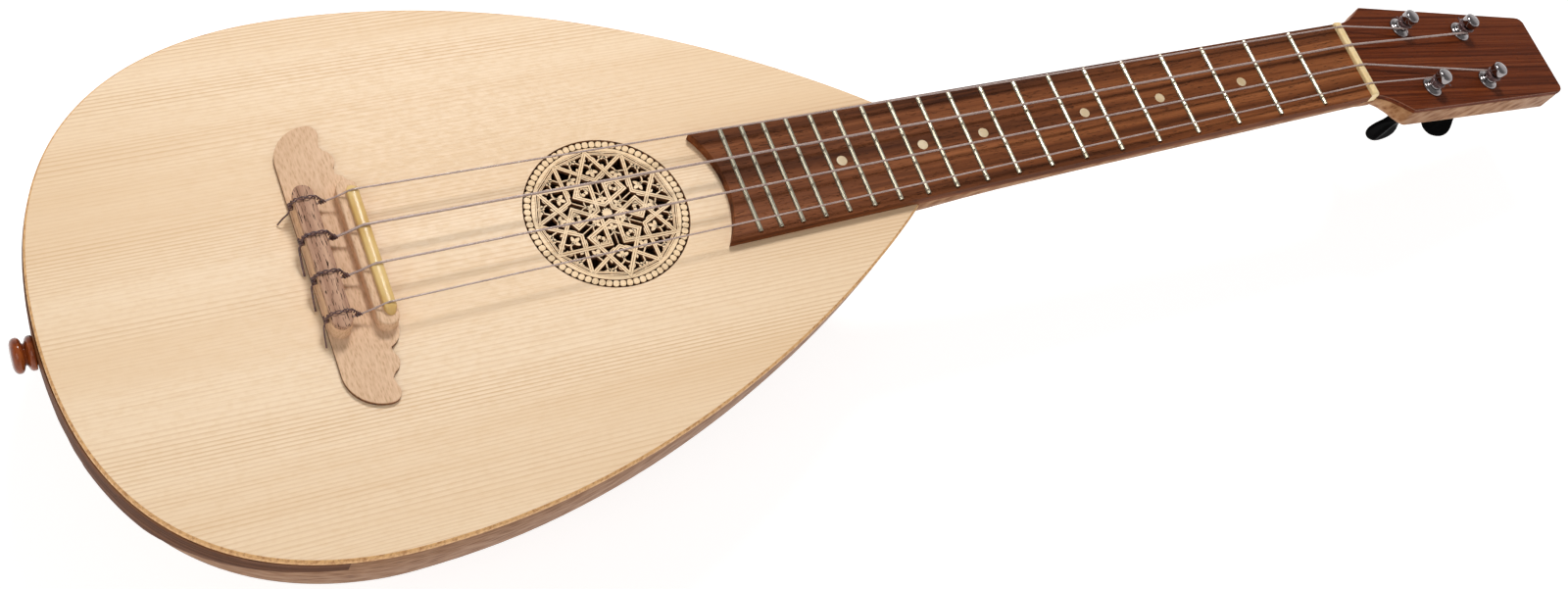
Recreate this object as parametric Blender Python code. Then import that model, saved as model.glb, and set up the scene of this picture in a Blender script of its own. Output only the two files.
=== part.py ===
"""A four-string tenor ukulele with a lute-shaped body: flat spruce top, bowl back of nine
ribs, carved rosette, straight tied strings and four friction pegs.

Frame: +X runs from the tail to the headstock, +Y across, +Z up out of the soundboard.  The
origin is below the middle of the whole instrument, at the height of the keel.  Inside the
file a place is (u, v, h): u from the nut towards the tail, v across, h above the soundboard.
"""
import math

import bmesh
import bpy
from mathutils import Vector

MM = 0.001
GAP = 0.3 * MM                      # between two pieces that touch

# Scale and fingerboard
SCALE_LENGTH = 432 * MM
FRET_COUNT = 19
BOARD_HALF_AT_NUT = 18.8 * MM
BOARD_FLARE = 0.01705               # half-width gained per metre along the board
BOARD_THICK = 4.0 * MM
BOARD_TIP_U = 300.3 * MM
BOARD_SCOOP = 7.0 * MM              # depth of the hollow end
FRET_WIDTH = 1.9 * MM
FRET_CROWN = 1.0 * MM
FRET_INSET = 1.1 * MM               # from the board's edge to the fret's end
TANG_WIDTH = 0.6 * MM
TANG_DEEP = 1.6 * MM
SLOT_WIDTH = 1.2 * MM
SLOT_DEEP = 2.0 * MM

# Body
JOINT_U = 219.4 * MM                # where the neck meets the soundboard
JOINT_HALF = 24.0 * MM
WIDEST_U = 440.7 * MM
WIDEST_HALF = 106.8 * MM
TAIL_U = 543.9 * MM
NECK_HANDLE_U = 318.2 * MM          # outline's curve handles
WIDE_HANDLE_U = 482.2 * MM
TAIL_HANDLE_HALF = 91.1 * MM
BODY_SKEW = 0.0122                  # the body leans this much sideways per metre of length
SKEW_FROM_U = 306.0 * MM
TOP_THICK = 2.6 * MM
TOP_ROUND = 1.0 * MM                # rounding of the top's upper edge
TOP_OVERHANG = 0.6 * MM
RIB_THICK = 2.4 * MM
BOWL_START = TOP_THICK + GAP        # the ribs' upper edges, below the top's face
BOWL_DEEP = 84.0 * MM
BOWL_FLAT = 82.0 * MM               # the keel is flattened here
BOWL_DEEP_AT_NECK = 19.0 * MM
KEEL_POWER = 2.8                    # roundness of the bowl's profile at the tail
TAIL_POWER = 1.2
RIB_DEPTHS = (0.0, 0.345, 0.660, 0.885, 1.0)
RIB_SIDES_WIDE = (1.0, 0.970, 0.875, 0.615, 0.225)
RIB_SIDES_NECK = (1.0, 0.995, 0.930, 0.680, 0.250)

# Strip over the rib ends round the tail, by bearing from a point inside the body
CLASP_MIDDLE_U = 462 * MM
CLASP_SWEEP = math.radians(87.5)
CLASP_THICK = 0.8 * MM
CLASP_GAP = 0.5 * MM
CLASP_DEEP_AT_TAIL = 30 * MM
CLASP_DEEP_AT_END = 11.0 * MM

# Rosette
ROSETTE_U = 340.5 * MM
ROSETTE_R = 31.05 * MM
ROSETTE_THICK = 1.8 * MM
ROSETTE_SPOKES = 12

# Bridge, on the soundboard
BRIDGE_THICK = 1.8 * MM
BRIDGE_BACK_U = 452.0 * MM
BRIDGE_FRONT_U = 427.4 * MM
BRIDGE_HALF = 57.0 * MM
TIE_U = 447.6 * MM
TIE_WIDTH = 7.4 * MM
TIE_HALF = 28.7 * MM
TIE_TOP = 8.2 * MM
CAP_TOP = 10.6 * MM
SADDLE_BLOCK_U = 431.4 * MM
SADDLE_BLOCK_WIDTH = 8.0 * MM
SADDLE_BLOCK_HALF = 29.6 * MM
SADDLE_BLOCK_TOP = 7.3 * MM
SADDLE_U = 430.2 * MM
SADDLE_THICK = 3.6 * MM
SADDLE_HALF = 26.4 * MM
SADDLE_TOP = 10.0 * MM
SADDLE_FOOT = 3.9 * MM
STRING_HOLE_H = 4.9 * MM

# Neck, nut and headstock
NUT_THICK = 3.9 * MM
NUT_TOP = 6.1 * MM
HEAD_TILT = math.radians(13.8)
HEAD_FACE_H = 4.8 * MM              # the face's height over the soundboard at the nut
HEAD_LENGTH = 132.65 * MM
HEAD_SHOULDER_S = 23.7 * MM
HEAD_SHOULDER_HALF = 27.2 * MM
HEAD_END_HALF = 20.7 * MM
VENEER_THICK = 2.0 * MM
VENEER_START_S = 4.9 * MM
HEAD_WOOD_THICK = 11.0 * MM
HEAD_BACK = VENEER_THICK + GAP + HEAD_WOOD_THICK

# Pegs: distance along the headstock, distance across, turn of the button
PEGS = (
    ("g", 41.5 * MM, 15.7 * MM, 60.0),
    ("c", 81.9 * MM, 13.2 * MM, 100.0),
    ("e", 81.9 * MM, -13.2 * MM, 118.0),
    ("a", 41.5 * MM, -15.7 * MM, -14.0),
)
PEG_HOLE_R = 4.2 * MM
PEG_SHAFT_R = 2.6 * MM
PEG_TOP = 9.8 * MM
PEG_CAP_R = 3.5 * MM
PEG_WAIST_R = 2.2 * MM
PEG_WIND_H = 3.6 * MM
BUSH_FLANGE_R = 5.0 * MM
BUTTON_LENGTH = 26.0 * MM

# Strings: name, radius, distance across at the saddle and at the nut
STRINGS = (
    ("g", 0.36 * MM, 23.1 * MM, 15.8 * MM),
    ("c", 0.50 * MM, 8.4 * MM, 6.2 * MM),
    ("e", 0.42 * MM, -7.2 * MM, -4.1 * MM),
    ("a", 0.34 * MM, -22.7 * MM, -13.6 * MM),
)

# Endpin
ENDPIN_DEEP = 13.1 * MM
ENDPIN_SHANK_R = 2.9 * MM
ENDPIN_TIP_U = 552.2 * MM

# Where the (u, v, h) frame sits in the model
HEAD_REACH = HEAD_LENGTH * math.cos(HEAD_TILT)
NUT_X = (ENDPIN_TIP_U - HEAD_REACH) / 2
STRINGS_Y = BODY_SKEW * (WIDEST_U - SKEW_FROM_U)
SOUNDBOARD_Z = BOWL_START + BOWL_FLAT

FINISHES = {
    "spruce": ((0.84, 0.64, 0.40), 0.45, 0.0),
    "lacewood": ((0.50, 0.30, 0.16), 0.40, 0.0),
    "lacewood_light": ((0.68, 0.42, 0.23), 0.45, 0.0),
    "walnut": ((0.16, 0.06, 0.03), 0.45, 0.0),
    "walnut_light": ((0.26, 0.14, 0.09), 0.50, 0.0),
    "walnut_dark": ((0.11, 0.035, 0.015), 0.35, 0.0),
    "turned_wood": ((0.21, 0.05, 0.014), 0.25, 0.0),
    "bone": ((0.83, 0.72, 0.42), 0.35, 0.0),
    "nickel": ((0.75, 0.73, 0.66), 0.25, 1.0),
    "chrome": ((0.80, 0.80, 0.82), 0.12, 1.0),
    "black_plastic": ((0.012, 0.011, 0.012), 0.20, 0.0),
    "nylon": ((0.36, 0.26, 0.28), 0.30, 0.0),
}


# ---------------------------------------------------------------- helpers

def clear_scene():
    for thing in list(bpy.data.objects):
        bpy.data.objects.remove(thing, do_unlink=True)


def finish(name):
    material = bpy.data.materials.get(name) or bpy.data.materials.new(name)
    colour, roughness, metallic = FINISHES[name]
    material.use_nodes = True
    shader = material.node_tree.nodes["Principled BSDF"]
    shader.inputs["Base Color"].default_value = (*colour, 1.0)
    shader.inputs["Roughness"].default_value = roughness
    shader.inputs["Metallic"].default_value = metallic
    material.diffuse_color = (*colour, 1.0)
    return material


def at(u, v, h):
    return Vector((NUT_X - u, STRINGS_Y + v, SOUNDBOARD_Z + h))


def in_body(u, v, h):
    """A point of the body, whose own centre line runs slightly askew of the strings."""
    return at(u, v - BODY_SKEW * (u - SKEW_FROM_U), h)


def on_head(s, v, up):
    """A point on the tilted headstock: s from the nut, up from the veneer's face."""
    u = -s * math.cos(HEAD_TILT) - up * math.sin(HEAD_TILT)
    h = HEAD_FACE_H - s * math.sin(HEAD_TILT) + up * math.cos(HEAD_TILT)
    return at(u, v, h)


def add_object(name, mesh, material, smooth=35):
    thing = bpy.data.objects.new(name, mesh)
    bpy.context.scene.collection.objects.link(thing)
    mesh.materials.append(finish(material))
    if smooth:
        mesh.shade_smooth()
        mesh.set_sharp_from_angle(angle=math.radians(smooth))
    return thing


def from_bmesh(name, bm, material, smooth=35):
    bmesh.ops.recalc_face_normals(bm, faces=bm.faces)
    mesh = bpy.data.meshes.new(name)
    bm.to_mesh(mesh)
    bm.free()
    return add_object(name, mesh, material, smooth)


def loft(name, rings, material, closed=False, smooth=35):
    """Skin a list of rings with the same number of points; flat caps unless closed."""
    bm = bmesh.new()
    rows = [[bm.verts.new(p) for p in ring] for ring in rings]
    pairs = list(zip(rows, rows[1:]))
    if closed:
        pairs.append((rows[-1], rows[0]))
    for low, high in pairs:
        count = len(low)
        for i in range(count):
            j = (i + 1) % count
            bm.faces.new((low[i], low[j], high[j], high[i]))
    if not closed:
        bm.faces.new(rows[0])
        bm.faces.new(rows[-1])
    return from_bmesh(name, bm, material, smooth)


def prism(name, outline, h_low, h_high, material, smooth=35):
    rings = [[at(u, v, h) for u, v in outline] for h in (h_low, h_high)]
    return loft(name, rings, material, smooth=smooth)


def turned(name, profile, origin, axis, segments, material, closed=False, smooth=40):
    """Turn (radius, distance) points about an axis; an open profile gets flat ends."""
    axis = axis.normalized()
    side = axis.orthogonal().normalized()
    other = axis.cross(side)
    rings = []
    for radius, along in profile:
        ring = []
        for k in range(segments):
            turn = 2 * math.pi * k / segments
            out = side * math.cos(turn) + other * math.sin(turn)
            ring.append(origin + axis * along + out * radius)
        rings.append(ring)
    return loft(name, rings, material, closed=closed, smooth=smooth)


def bevel(thing, width, segments=2, angle=40):
    modifier = thing.modifiers.new("bevel", "BEVEL")
    modifier.width = width
    modifier.segments = segments
    modifier.limit_method = "ANGLE"
    modifier.angle_limit = math.radians(angle)


def cut(thing, cutter):
    cutter.hide_render = True
    cutter.display_type = "WIRE"
    modifier = thing.modifiers.new("cut", "BOOLEAN")
    modifier.operation = "DIFFERENCE"
    modifier.object = cutter


def unite(thing, other):
    other.hide_render = True
    other.display_type = "WIRE"
    modifier = thing.modifiers.new("join", "BOOLEAN")
    modifier.operation = "UNION"
    modifier.object = other


def arc(cx, cy, radius, start, end, steps):
    """Points on a circle from one angle to another, in degrees, both ends included."""
    points = []
    for k in range(steps + 1):
        turn = math.radians(start + (end - start) * k / steps)
        points.append((cx + radius * math.cos(turn), cy + radius * math.sin(turn)))
    return points


def cubic(a, b, c, d, t):
    s = 1 - t
    return tuple(s**3 * a[i] + 3 * s * s * t * b[i] + 3 * s * t * t * c[i] + t**3 * d[i]
                 for i in range(2))


def smoothstep(low, high, x):
    t = min(max((x - low) / (high - low), 0.0), 1.0)
    return t * t * (3 - 2 * t)


# ---------------------------------------------------------------- body outline

def outline_point(t):
    """The soundboard's edge as (u, half-width): t 0 at the neck, 1 widest, 2 at the tail."""
    joint = (JOINT_U, JOINT_HALF)
    widest = (WIDEST_U, WIDEST_HALF)
    if t <= 1:
        return cubic(joint, joint, (NECK_HANDLE_U, WIDEST_HALF), widest, t)
    return cubic(widest, (WIDE_HANDLE_U, WIDEST_HALF), (TAIL_U, TAIL_HANDLE_HALF),
                 (TAIL_U, 0.0), t - 1)


def half_at(u):
    """Half the soundboard's width at u."""
    low, high = (0.0, 1.0) if u < WIDEST_U else (2.0, 1.0)
    for _ in range(26):
        middle = (low + high) / 2
        if abs(outline_point(middle)[0] - WIDEST_U) > abs(u - WIDEST_U):
            low = middle
        else:
            high = middle
    return outline_point(low)[1]


def tail_reach(part):
    """How far back the bowl runs at part of its depth: 1 at the rim, 0 at the keel."""
    return (1 - part**KEEL_POWER) ** (1 / TAIL_POWER)


def bowl_depth(u):
    """How deep the keel is under the ribs' upper edges."""
    if u >= WIDEST_U:
        run = min((u - WIDEST_U) / (TAIL_U - WIDEST_U), 1.0)
        deep = BOWL_DEEP * (1 - run**TAIL_POWER) ** (1 / KEEL_POWER)
    else:
        share = (half_at(u) - JOINT_HALF) / (WIDEST_HALF - JOINT_HALF)
        deep = BOWL_DEEP_AT_NECK + (BOWL_DEEP - BOWL_DEEP_AT_NECK) * share
    return min(deep, BOWL_FLAT)


def side_at(part):
    """Width of the bowl's widest section at part of its depth, as a share of its top width."""
    steps = list(zip(RIB_DEPTHS, RIB_SIDES_WIDE))
    for (d1, w1), (d2, w2) in zip(steps, steps[1:]):
        if part <= d2:
            return w1 + (w2 - w1) * (part - d1) / (d2 - d1)
    return RIB_SIDES_WIDE[-1]


def section(u, inset=0.0):
    """The bowl's nine-sided section at u, from the +v edge under the keel to the -v edge."""
    deep = bowl_depth(u) - inset
    side = []
    for part, wide, narrow in zip(RIB_DEPTHS, RIB_SIDES_WIDE, RIB_SIDES_NECK):
        if u < WIDEST_U:
            share = (half_at(u) - JOINT_HALF) / (WIDEST_HALF - JOINT_HALF)
            half = (half_at(u) - TOP_OVERHANG - inset) * (narrow + (wide - narrow) * share)
        elif part < 1.0:
            depth = part * deep / BOWL_DEEP
            rim_u = WIDEST_U + (u - WIDEST_U) / tail_reach(depth)
            half = (half_at(rim_u) - TOP_OVERHANG - inset) * side_at(depth)
        else:
            half = side[-1][0] * RIB_SIDES_WIDE[-1] / RIB_SIDES_WIDE[-2]
        side.append((half, -BOWL_START - deep * part))
    mirrored = [(-v, h) for v, h in reversed(side)]
    return side + mirrored


def make_soundboard():
    """A flat plate in strips across the body, cut for the rosette."""
    steps = 36
    rings = []
    for t in [0.0] + [0.1 + 1.86 * k / steps for k in range(steps + 1)]:
        u, half = outline_point(t)
        u = max(u, JOINT_U + GAP)
        right = [(half - TOP_ROUND, 0.0), (half - 0.3 * TOP_ROUND, -0.3 * TOP_ROUND),
                 (half, -TOP_ROUND), (half, -TOP_THICK)]
        left = [(-v, h) for v, h in reversed(right)]
        rings.append([in_body(u, v, h) for v, h in right + left])
    board = loft("soundboard", rings, "spruce")
    hole = turned("cutter_soundhole", [(ROSETTE_R, -5 * MM), (ROSETTE_R, 5 * MM)],
                  at(ROSETTE_U, 0, 0), Vector((0, 0, 1)), 48, "spruce")
    cut(board, hole)


def make_rosette():
    """A thin pierced disc: rim, hub and spokes, flush in the sound hole."""
    radii = (5 * MM, 13 * MM, 15 * MM, 26 * MM, ROSETTE_R - GAP)
    sectors = ROSETTE_SPOKES * 2
    bm = bmesh.new()
    rows = []
    for radius in radii:
        ring = arc(ROSETTE_U, 0, radius, 0, 360 * (1 - 1 / sectors), sectors - 1)
        rows.append([bm.verts.new(at(u, v, 0)) for u, v in ring])
    bm.faces.new(rows[0])
    for band, (inner, outer) in enumerate(zip(rows, rows[1:])):
        pierced = band in (0, 2)
        for i in range(sectors):
            j = (i + 1) % sectors
            if pierced and i % 2:
                continue
            bm.faces.new((inner[i], inner[j], outer[j], outer[i]))
    plate = bmesh.ops.extrude_face_region(bm, geom=list(bm.faces))
    lower = [item for item in plate["geom"] if isinstance(item, bmesh.types.BMVert)]
    bmesh.ops.translate(bm, verts=lower, vec=(0, 0, -ROSETTE_THICK))
    from_bmesh("rosette", bm, "spruce")


# ---------------------------------------------------------------- bowl back

RIB_STATIONS = ([0.05 + 0.95 * k / 9 for k in range(9)]
                + [1 + 0.9 * k / 12 for k in range(13)])


def unit(v, h):
    size = math.hypot(v, h)
    return v / size, h / size


def rib_section(t, index):
    """Four corners of one rib at t: outer edges, then inner edges, mitred to the next rib."""
    u, _ = outline_point(t)
    points = section(u)
    normals = []
    for (v1, h1), (v2, h2) in zip(points, points[1:]):
        dv, dh = unit(v2 - v1, h2 - h1)
        normals.append((dh, -dv))
    corners = []
    for end, step in ((index, 1), (index + 1, -1)):
        v1, h1 = points[end]
        n1 = normals[index]
        neighbour = index - step
        if 0 <= neighbour < len(normals):
            n2 = normals[neighbour]
        else:
            n2 = n1
        share = 1 + n1[0] * n2[0] + n1[1] * n2[1]
        mitre = ((n1[0] + n2[0]) / share, (n1[1] + n2[1]) / share)
        along = unit(points[index + 1][0] - points[index][0],
                     points[index + 1][1] - points[index][1])
        shift = step * GAP / 2
        outer = (v1 + along[0] * shift, h1 + along[1] * shift)
        inner = (outer[0] + mitre[0] * RIB_THICK, outer[1] + mitre[1] * RIB_THICK)
        corners.append((outer, inner))
    (outer_a, inner_a), (outer_b, inner_b) = corners
    return [in_body(u, v, h) for v, h in (outer_a, outer_b, inner_b, inner_a)]


def make_ribs():
    for index in range(9):
        rings = [rib_section(t, index) for t in RIB_STATIONS]
        loft(f"rib_{index + 1}", rings, "lacewood", smooth=25)


def make_inner_bar(name, near, far, half, low, high, material):
    """A plain bar across the inside of the body."""
    corners = ((near, -half), (far, -half), (far, half), (near, half))
    rings = [[in_body(u, v, h) for u, v in corners] for h in (low, high)]
    return loft(name, rings, material, smooth=0)


def make_inner_blocks():
    rings = []
    for u in (224 * MM, 236 * MM, 246 * MM):
        rings.append([in_body(u, v, min(h, -BOWL_START - GAP))
                      for v, h in section(u, RIB_THICK + 1.0 * MM)])
    loft("neck_block", rings, "lacewood_light", smooth=0)
    tail = make_inner_bar("tail_block", 514 * MM, 535 * MM, 20 * MM, -24 * MM, -4 * MM,
                          "lacewood_light")
    cut(tail, endpin_cutter("cutter_tail_block"))
    for number, u in enumerate((275 * MM, 392 * MM, 490 * MM), start=1):
        make_inner_bar(f"brace_{number}", u - 3 * MM, u + 3 * MM, half_at(u) - 9 * MM, -15 * MM,
                       -BOWL_START, "spruce")


# ---------------------------------------------------------------- tail

def bowl_surface_depth(u, v):
    """Depth of the bowl's outer face below the soundboard at (u, v), 0 outside its edge."""
    points = section(u)
    v = abs(v)
    for (v1, h1), (v2, h2) in zip(points[:4], points[1:5]):
        if v2 <= v <= v1:
            return -(h1 + (h2 - h1) * (v1 - v) / max(v1 - v2, 0.001 * MM))
    return -points[4][1] if v < points[4][0] else 0.0


def bowl_radius(turn, deep):
    """Distance from the body's middle to the bowl's face at this depth, along one bearing."""
    low, high = 20 * MM, 130 * MM
    for _ in range(22):
        middle = (low + high) / 2
        u = CLASP_MIDDLE_U + middle * math.cos(turn)
        if u < TAIL_U and bowl_surface_depth(u, middle * math.sin(turn)) > deep:
            low = middle
        else:
            high = middle
    return low


def make_tail_clasp():
    """The strip that caps the rib ends round the tail, deepest in the middle."""
    rings = []
    steps = 36
    top = BOWL_START + 0.2 * MM
    for k in range(steps + 1):
        turn = CLASP_SWEEP * (2 * k / steps - 1)
        fade = 0.5 + 0.5 * math.cos(math.pi * abs(turn) / CLASP_SWEEP)
        deep = CLASP_DEEP_AT_END + (CLASP_DEEP_AT_TAIL - CLASP_DEEP_AT_END) * fade**0.8
        depths = [top + (deep - top) * part for part in (0.0, 0.35, 0.7, 1.0)]
        radii = [bowl_radius(turn, d) for d in depths]
        face = [(r + CLASP_GAP + CLASP_THICK, d) for r, d in zip(radii, depths)]
        back = [(r + CLASP_GAP, d) for r, d in zip(reversed(radii), reversed(depths))]
        rings.append([in_body(CLASP_MIDDLE_U + r * math.cos(turn), r * math.sin(turn), -d)
                      for r, d in face + back])
    clasp = loft("tail_clasp", rings, "walnut_dark", smooth=25)
    cut(clasp, endpin_cutter("cutter_clasp"))


def endpin_cutter(name):
    r = ENDPIN_SHANK_R + GAP
    return turned(name, [(r, -60 * MM), (r, 20 * MM)], in_body(TAIL_U, 0, -ENDPIN_DEEP),
                  Vector((-1, 0, 0)), 16, "walnut_dark")


def make_endpin():
    """A turned knob with a bell at its foot and a shank into the tail block."""
    rest = bowl_radius(0.0, ENDPIN_DEEP - 6 * MM) + CLASP_GAP + CLASP_THICK
    foot = CLASP_MIDDLE_U + rest + GAP
    knob = ENDPIN_TIP_U - foot
    profile = [
        (1.2 * MM, -24 * MM), (ENDPIN_SHANK_R, -22 * MM), (ENDPIN_SHANK_R, 0.0),
        (5.9 * MM, 0.0), (6.1 * MM, 0.12 * knob), (5.9 * MM, 0.28 * knob),
        (4.7 * MM, 0.42 * knob), (3.8 * MM, 0.50 * knob), (4.2 * MM, 0.56 * knob),
        (5.6 * MM, 0.63 * knob), (6.2 * MM, 0.76 * knob), (5.8 * MM, 0.90 * knob),
        (4.4 * MM, 0.98 * knob), (3.4 * MM, knob),
    ]
    turned("endpin", profile, in_body(foot, 0, -ENDPIN_DEEP), Vector((-1, 0, 0)), 20,
           "turned_wood", smooth=60)


# ---------------------------------------------------------------- neck and headstock

def dee(half, top, bottom, power, count=18):
    """A neck section as (v, up): flat on top, a superellipse below."""
    points = []
    for k in range(count + 1):
        turn = math.pi * k / count
        v = half * math.copysign(abs(math.cos(turn)) ** (2 / power), math.cos(turn))
        up = top - (top - bottom) * math.sin(turn) ** (2 / power) if 0 < k < count else top
        points.append((v, up))
    return points


def head_half(s):
    if s < HEAD_SHOULDER_S:
        rise = min(max(s, 0.0) / (0.95 * HEAD_SHOULDER_S), 1.0)
        ease = rise**2.75 * (2.2 - 1.2 * rise)
        return BOARD_HALF_AT_NUT + (HEAD_SHOULDER_HALF - BOARD_HALF_AT_NUT) * ease
    fall = (s - HEAD_SHOULDER_S) / (HEAD_LENGTH - HEAD_SHOULDER_S)
    return HEAD_SHOULDER_HALF + (HEAD_END_HALF - HEAD_SHOULDER_HALF) * fall


def board_half(u):
    return BOARD_HALF_AT_NUT + BOARD_FLARE * u


def make_neck():
    """Neck and headstock in one piece of wood, with the nut's seat and the peg holes cut."""
    rings = []
    joint = (JOINT_U - GAP, -(BOWL_START + BOWL_DEEP_AT_NECK), 2.3)
    shaft = ((212 * MM, -21.0 * MM, 2.3), (200 * MM, -18.0 * MM, 2.25), (182 * MM, -15.2 * MM, 2.2),
             (150 * MM, -13.4 * MM, 2.2), (90 * MM, -12.6 * MM, 2.2), (40 * MM, -12.0 * MM, 2.2),
             (16 * MM, -11.9 * MM, 2.3))
    for u, bottom, power in (joint, *shaft):
        half = min(board_half(u) - 0.3 * MM, JOINT_HALF)
        rings.append([at(u, v, h) for v, h in dee(half, 0.0, bottom, power)])
    for s, power, back in ((0.5, 2.4, 12.4), (4, 2.5, 12.9), (9, 2.7, 13.3), (14, 3.0, 13.3),
                           (18.5, 3.8, 13.3), (22.6, 5.5, 13.3), (25.2, 9.0, 13.3),
                           (28, 18.0, 13.3), (128, 18.0, 13.3), (132.65, 18.0, 13.3)):
        s *= MM
        half = head_half(s) - (0.4 * MM if s > 130 * MM else 0.0)
        profile = dee(half, -VENEER_THICK - GAP, -back * MM, power)
        rings.append([on_head(s, v, up) for v, up in profile])
    neck = loft("neck", rings, "lacewood_light", smooth=32)
    seat = prism("cutter_nut_seat", [(-NUT_THICK - GAP, -30 * MM), (30 * MM, -30 * MM),
                                     (30 * MM, 30 * MM), (-NUT_THICK - GAP, 30 * MM)],
                 0.0, 12 * MM, "lacewood_light")
    cut(neck, seat)
    for name, s, v, _ in PEGS:
        cut(neck, peg_cutter(f"cutter_neck_{name}", s, v))


def peg_cutter(name, s, v):
    return turned(name, [(PEG_HOLE_R, -20 * MM), (PEG_HOLE_R, 5 * MM)], on_head(s, v, 0),
                  head_normal(), 16, "chrome")


def head_normal():
    return Vector((math.sin(HEAD_TILT), 0, math.cos(HEAD_TILT)))


def make_veneer():
    end = HEAD_END_HALF
    side = [(s, head_half(s)) for s in (VENEER_START_S, 8 * MM, 12 * MM, 15 * MM, 18 * MM,
                                        20.5 * MM, 22.5 * MM, 24.6 * MM, 92 * MM)]
    side += [(129.5 * MM, end + 0.1 * MM), (131.6 * MM, end - 0.6 * MM)]
    side += [(HEAD_LENGTH, end - 2.2 * MM)]
    rings = [[on_head(s, -half, 0.0), on_head(s, half, 0.0), on_head(s, half, -VENEER_THICK),
              on_head(s, -half, -VENEER_THICK)] for s, half in side]
    veneer = loft("headstock_veneer", rings, "walnut")
    for name, s, v, _ in PEGS:
        cut(veneer, peg_cutter(f"cutter_veneer_{name}", s, v))


def make_nut():
    profile = [(0.0, GAP), (-NUT_THICK, GAP), (-NUT_THICK, NUT_TOP - 1.5 * MM),
               (-NUT_THICK + 0.7 * MM, NUT_TOP - 0.5 * MM), (-1.6 * MM, NUT_TOP),
               (-0.4 * MM, NUT_TOP), (0.0, NUT_TOP - 0.5 * MM)]
    half = BOARD_HALF_AT_NUT - 0.1 * MM
    rings = [[at(u, v, h) for u, h in profile] for v in (-half, half)]
    nut = loft("nut", rings, "bone")
    bevel(nut, 0.35 * MM, 1, 60)


def make_fingerboard():
    """The board with its hollow end over the soundboard and a slot for every fret."""
    tip_half = board_half(BOARD_TIP_U)
    radius = (tip_half**2 + BOARD_SCOOP**2) / (2 * BOARD_SCOOP)
    spread = math.degrees(math.asin(tip_half / radius))
    hollow = arc(BOARD_TIP_U - BOARD_SCOOP + radius, 0, radius, 180 - spread, 180 + spread, 14)
    start = (GAP, -board_half(0)), (GAP, board_half(0))
    board = prism("fingerboard", [*start, *hollow], GAP, GAP + BOARD_THICK, "walnut")
    bm = bmesh.new()
    for number in range(1, FRET_COUNT + 1):
        u = fret_u(number)
        top = GAP + BOARD_THICK
        corners = [(u + du, v, h) for h in (top - SLOT_DEEP, top + 2 * MM)
                   for du, v in ((-SLOT_WIDTH / 2, -30 * MM), (SLOT_WIDTH / 2, -30 * MM),
                                 (SLOT_WIDTH / 2, 30 * MM), (-SLOT_WIDTH / 2, 30 * MM))]
        verts = [bm.verts.new(at(*corner)) for corner in corners]
        for face in ((0, 1, 2, 3), (4, 5, 6, 7), (0, 1, 5, 4), (1, 2, 6, 5), (2, 3, 7, 6),
                     (3, 0, 4, 7)):
            bm.faces.new([verts[i] for i in face])
    cut(board, from_bmesh("cutter_fret_slots", bm, "walnut"))


def fret_u(number):
    return SCALE_LENGTH * (1 - 2 ** (-number / 12))


def make_frets():
    """Each fret has a rounded crown and a tang down in its slot."""
    low = GAP + BOARD_THICK + 0.2 * MM
    for number in range(1, FRET_COUNT + 1):
        u = fret_u(number)
        half = board_half(u) - FRET_INSET
        profile = [(u - TANG_WIDTH / 2, low - TANG_DEEP), (u + TANG_WIDTH / 2, low - TANG_DEEP),
                   (u + TANG_WIDTH / 2, low), (u + FRET_WIDTH / 2, low)]
        for k in (1, 2, 3):
            turn = math.pi * k / 4
            profile.append((u + FRET_WIDTH / 2 * math.cos(turn),
                            low + (FRET_CROWN - 0.2 * MM) * math.sin(turn)))
        profile += [(u - FRET_WIDTH / 2, low), (u - TANG_WIDTH / 2, low)]
        rings = [[at(x, v, h) for x, h in profile] for v in (-half, half)]
        loft(f"fret_{number:02d}", rings, "nickel")


# ---------------------------------------------------------------- bridge

def bridge_side():
    """Half of the bridge plate's outline, from the middle of its back to its front."""
    side = [(BRIDGE_BACK_U, 0.0)]
    side += arc(438 * MM, 43 * MM, 14 * MM, 0, 88, 7)
    side += arc(438 * MM, 53 * MM, 4 * MM, 95, 205, 5)
    side += [(435.2 * MM, 47.6 * MM)]
    side += arc(436.2 * MM, 41.2 * MM, 5.0 * MM, 118, 222, 4)
    side += [(432.6 * MM, 35.6 * MM), (430.4 * MM, 34.2 * MM), (428.6 * MM, 31.6 * MM),
             (BRIDGE_FRONT_U, 28.0 * MM)]
    return side


def stadium(u, half_width, half_length, steps=6):
    """A bar's outline with round ends."""
    end = half_length - half_width
    return (arc(u, end, half_width, 0, 180, steps)
            + arc(u, -end, half_width, 180, 360, steps))


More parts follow.
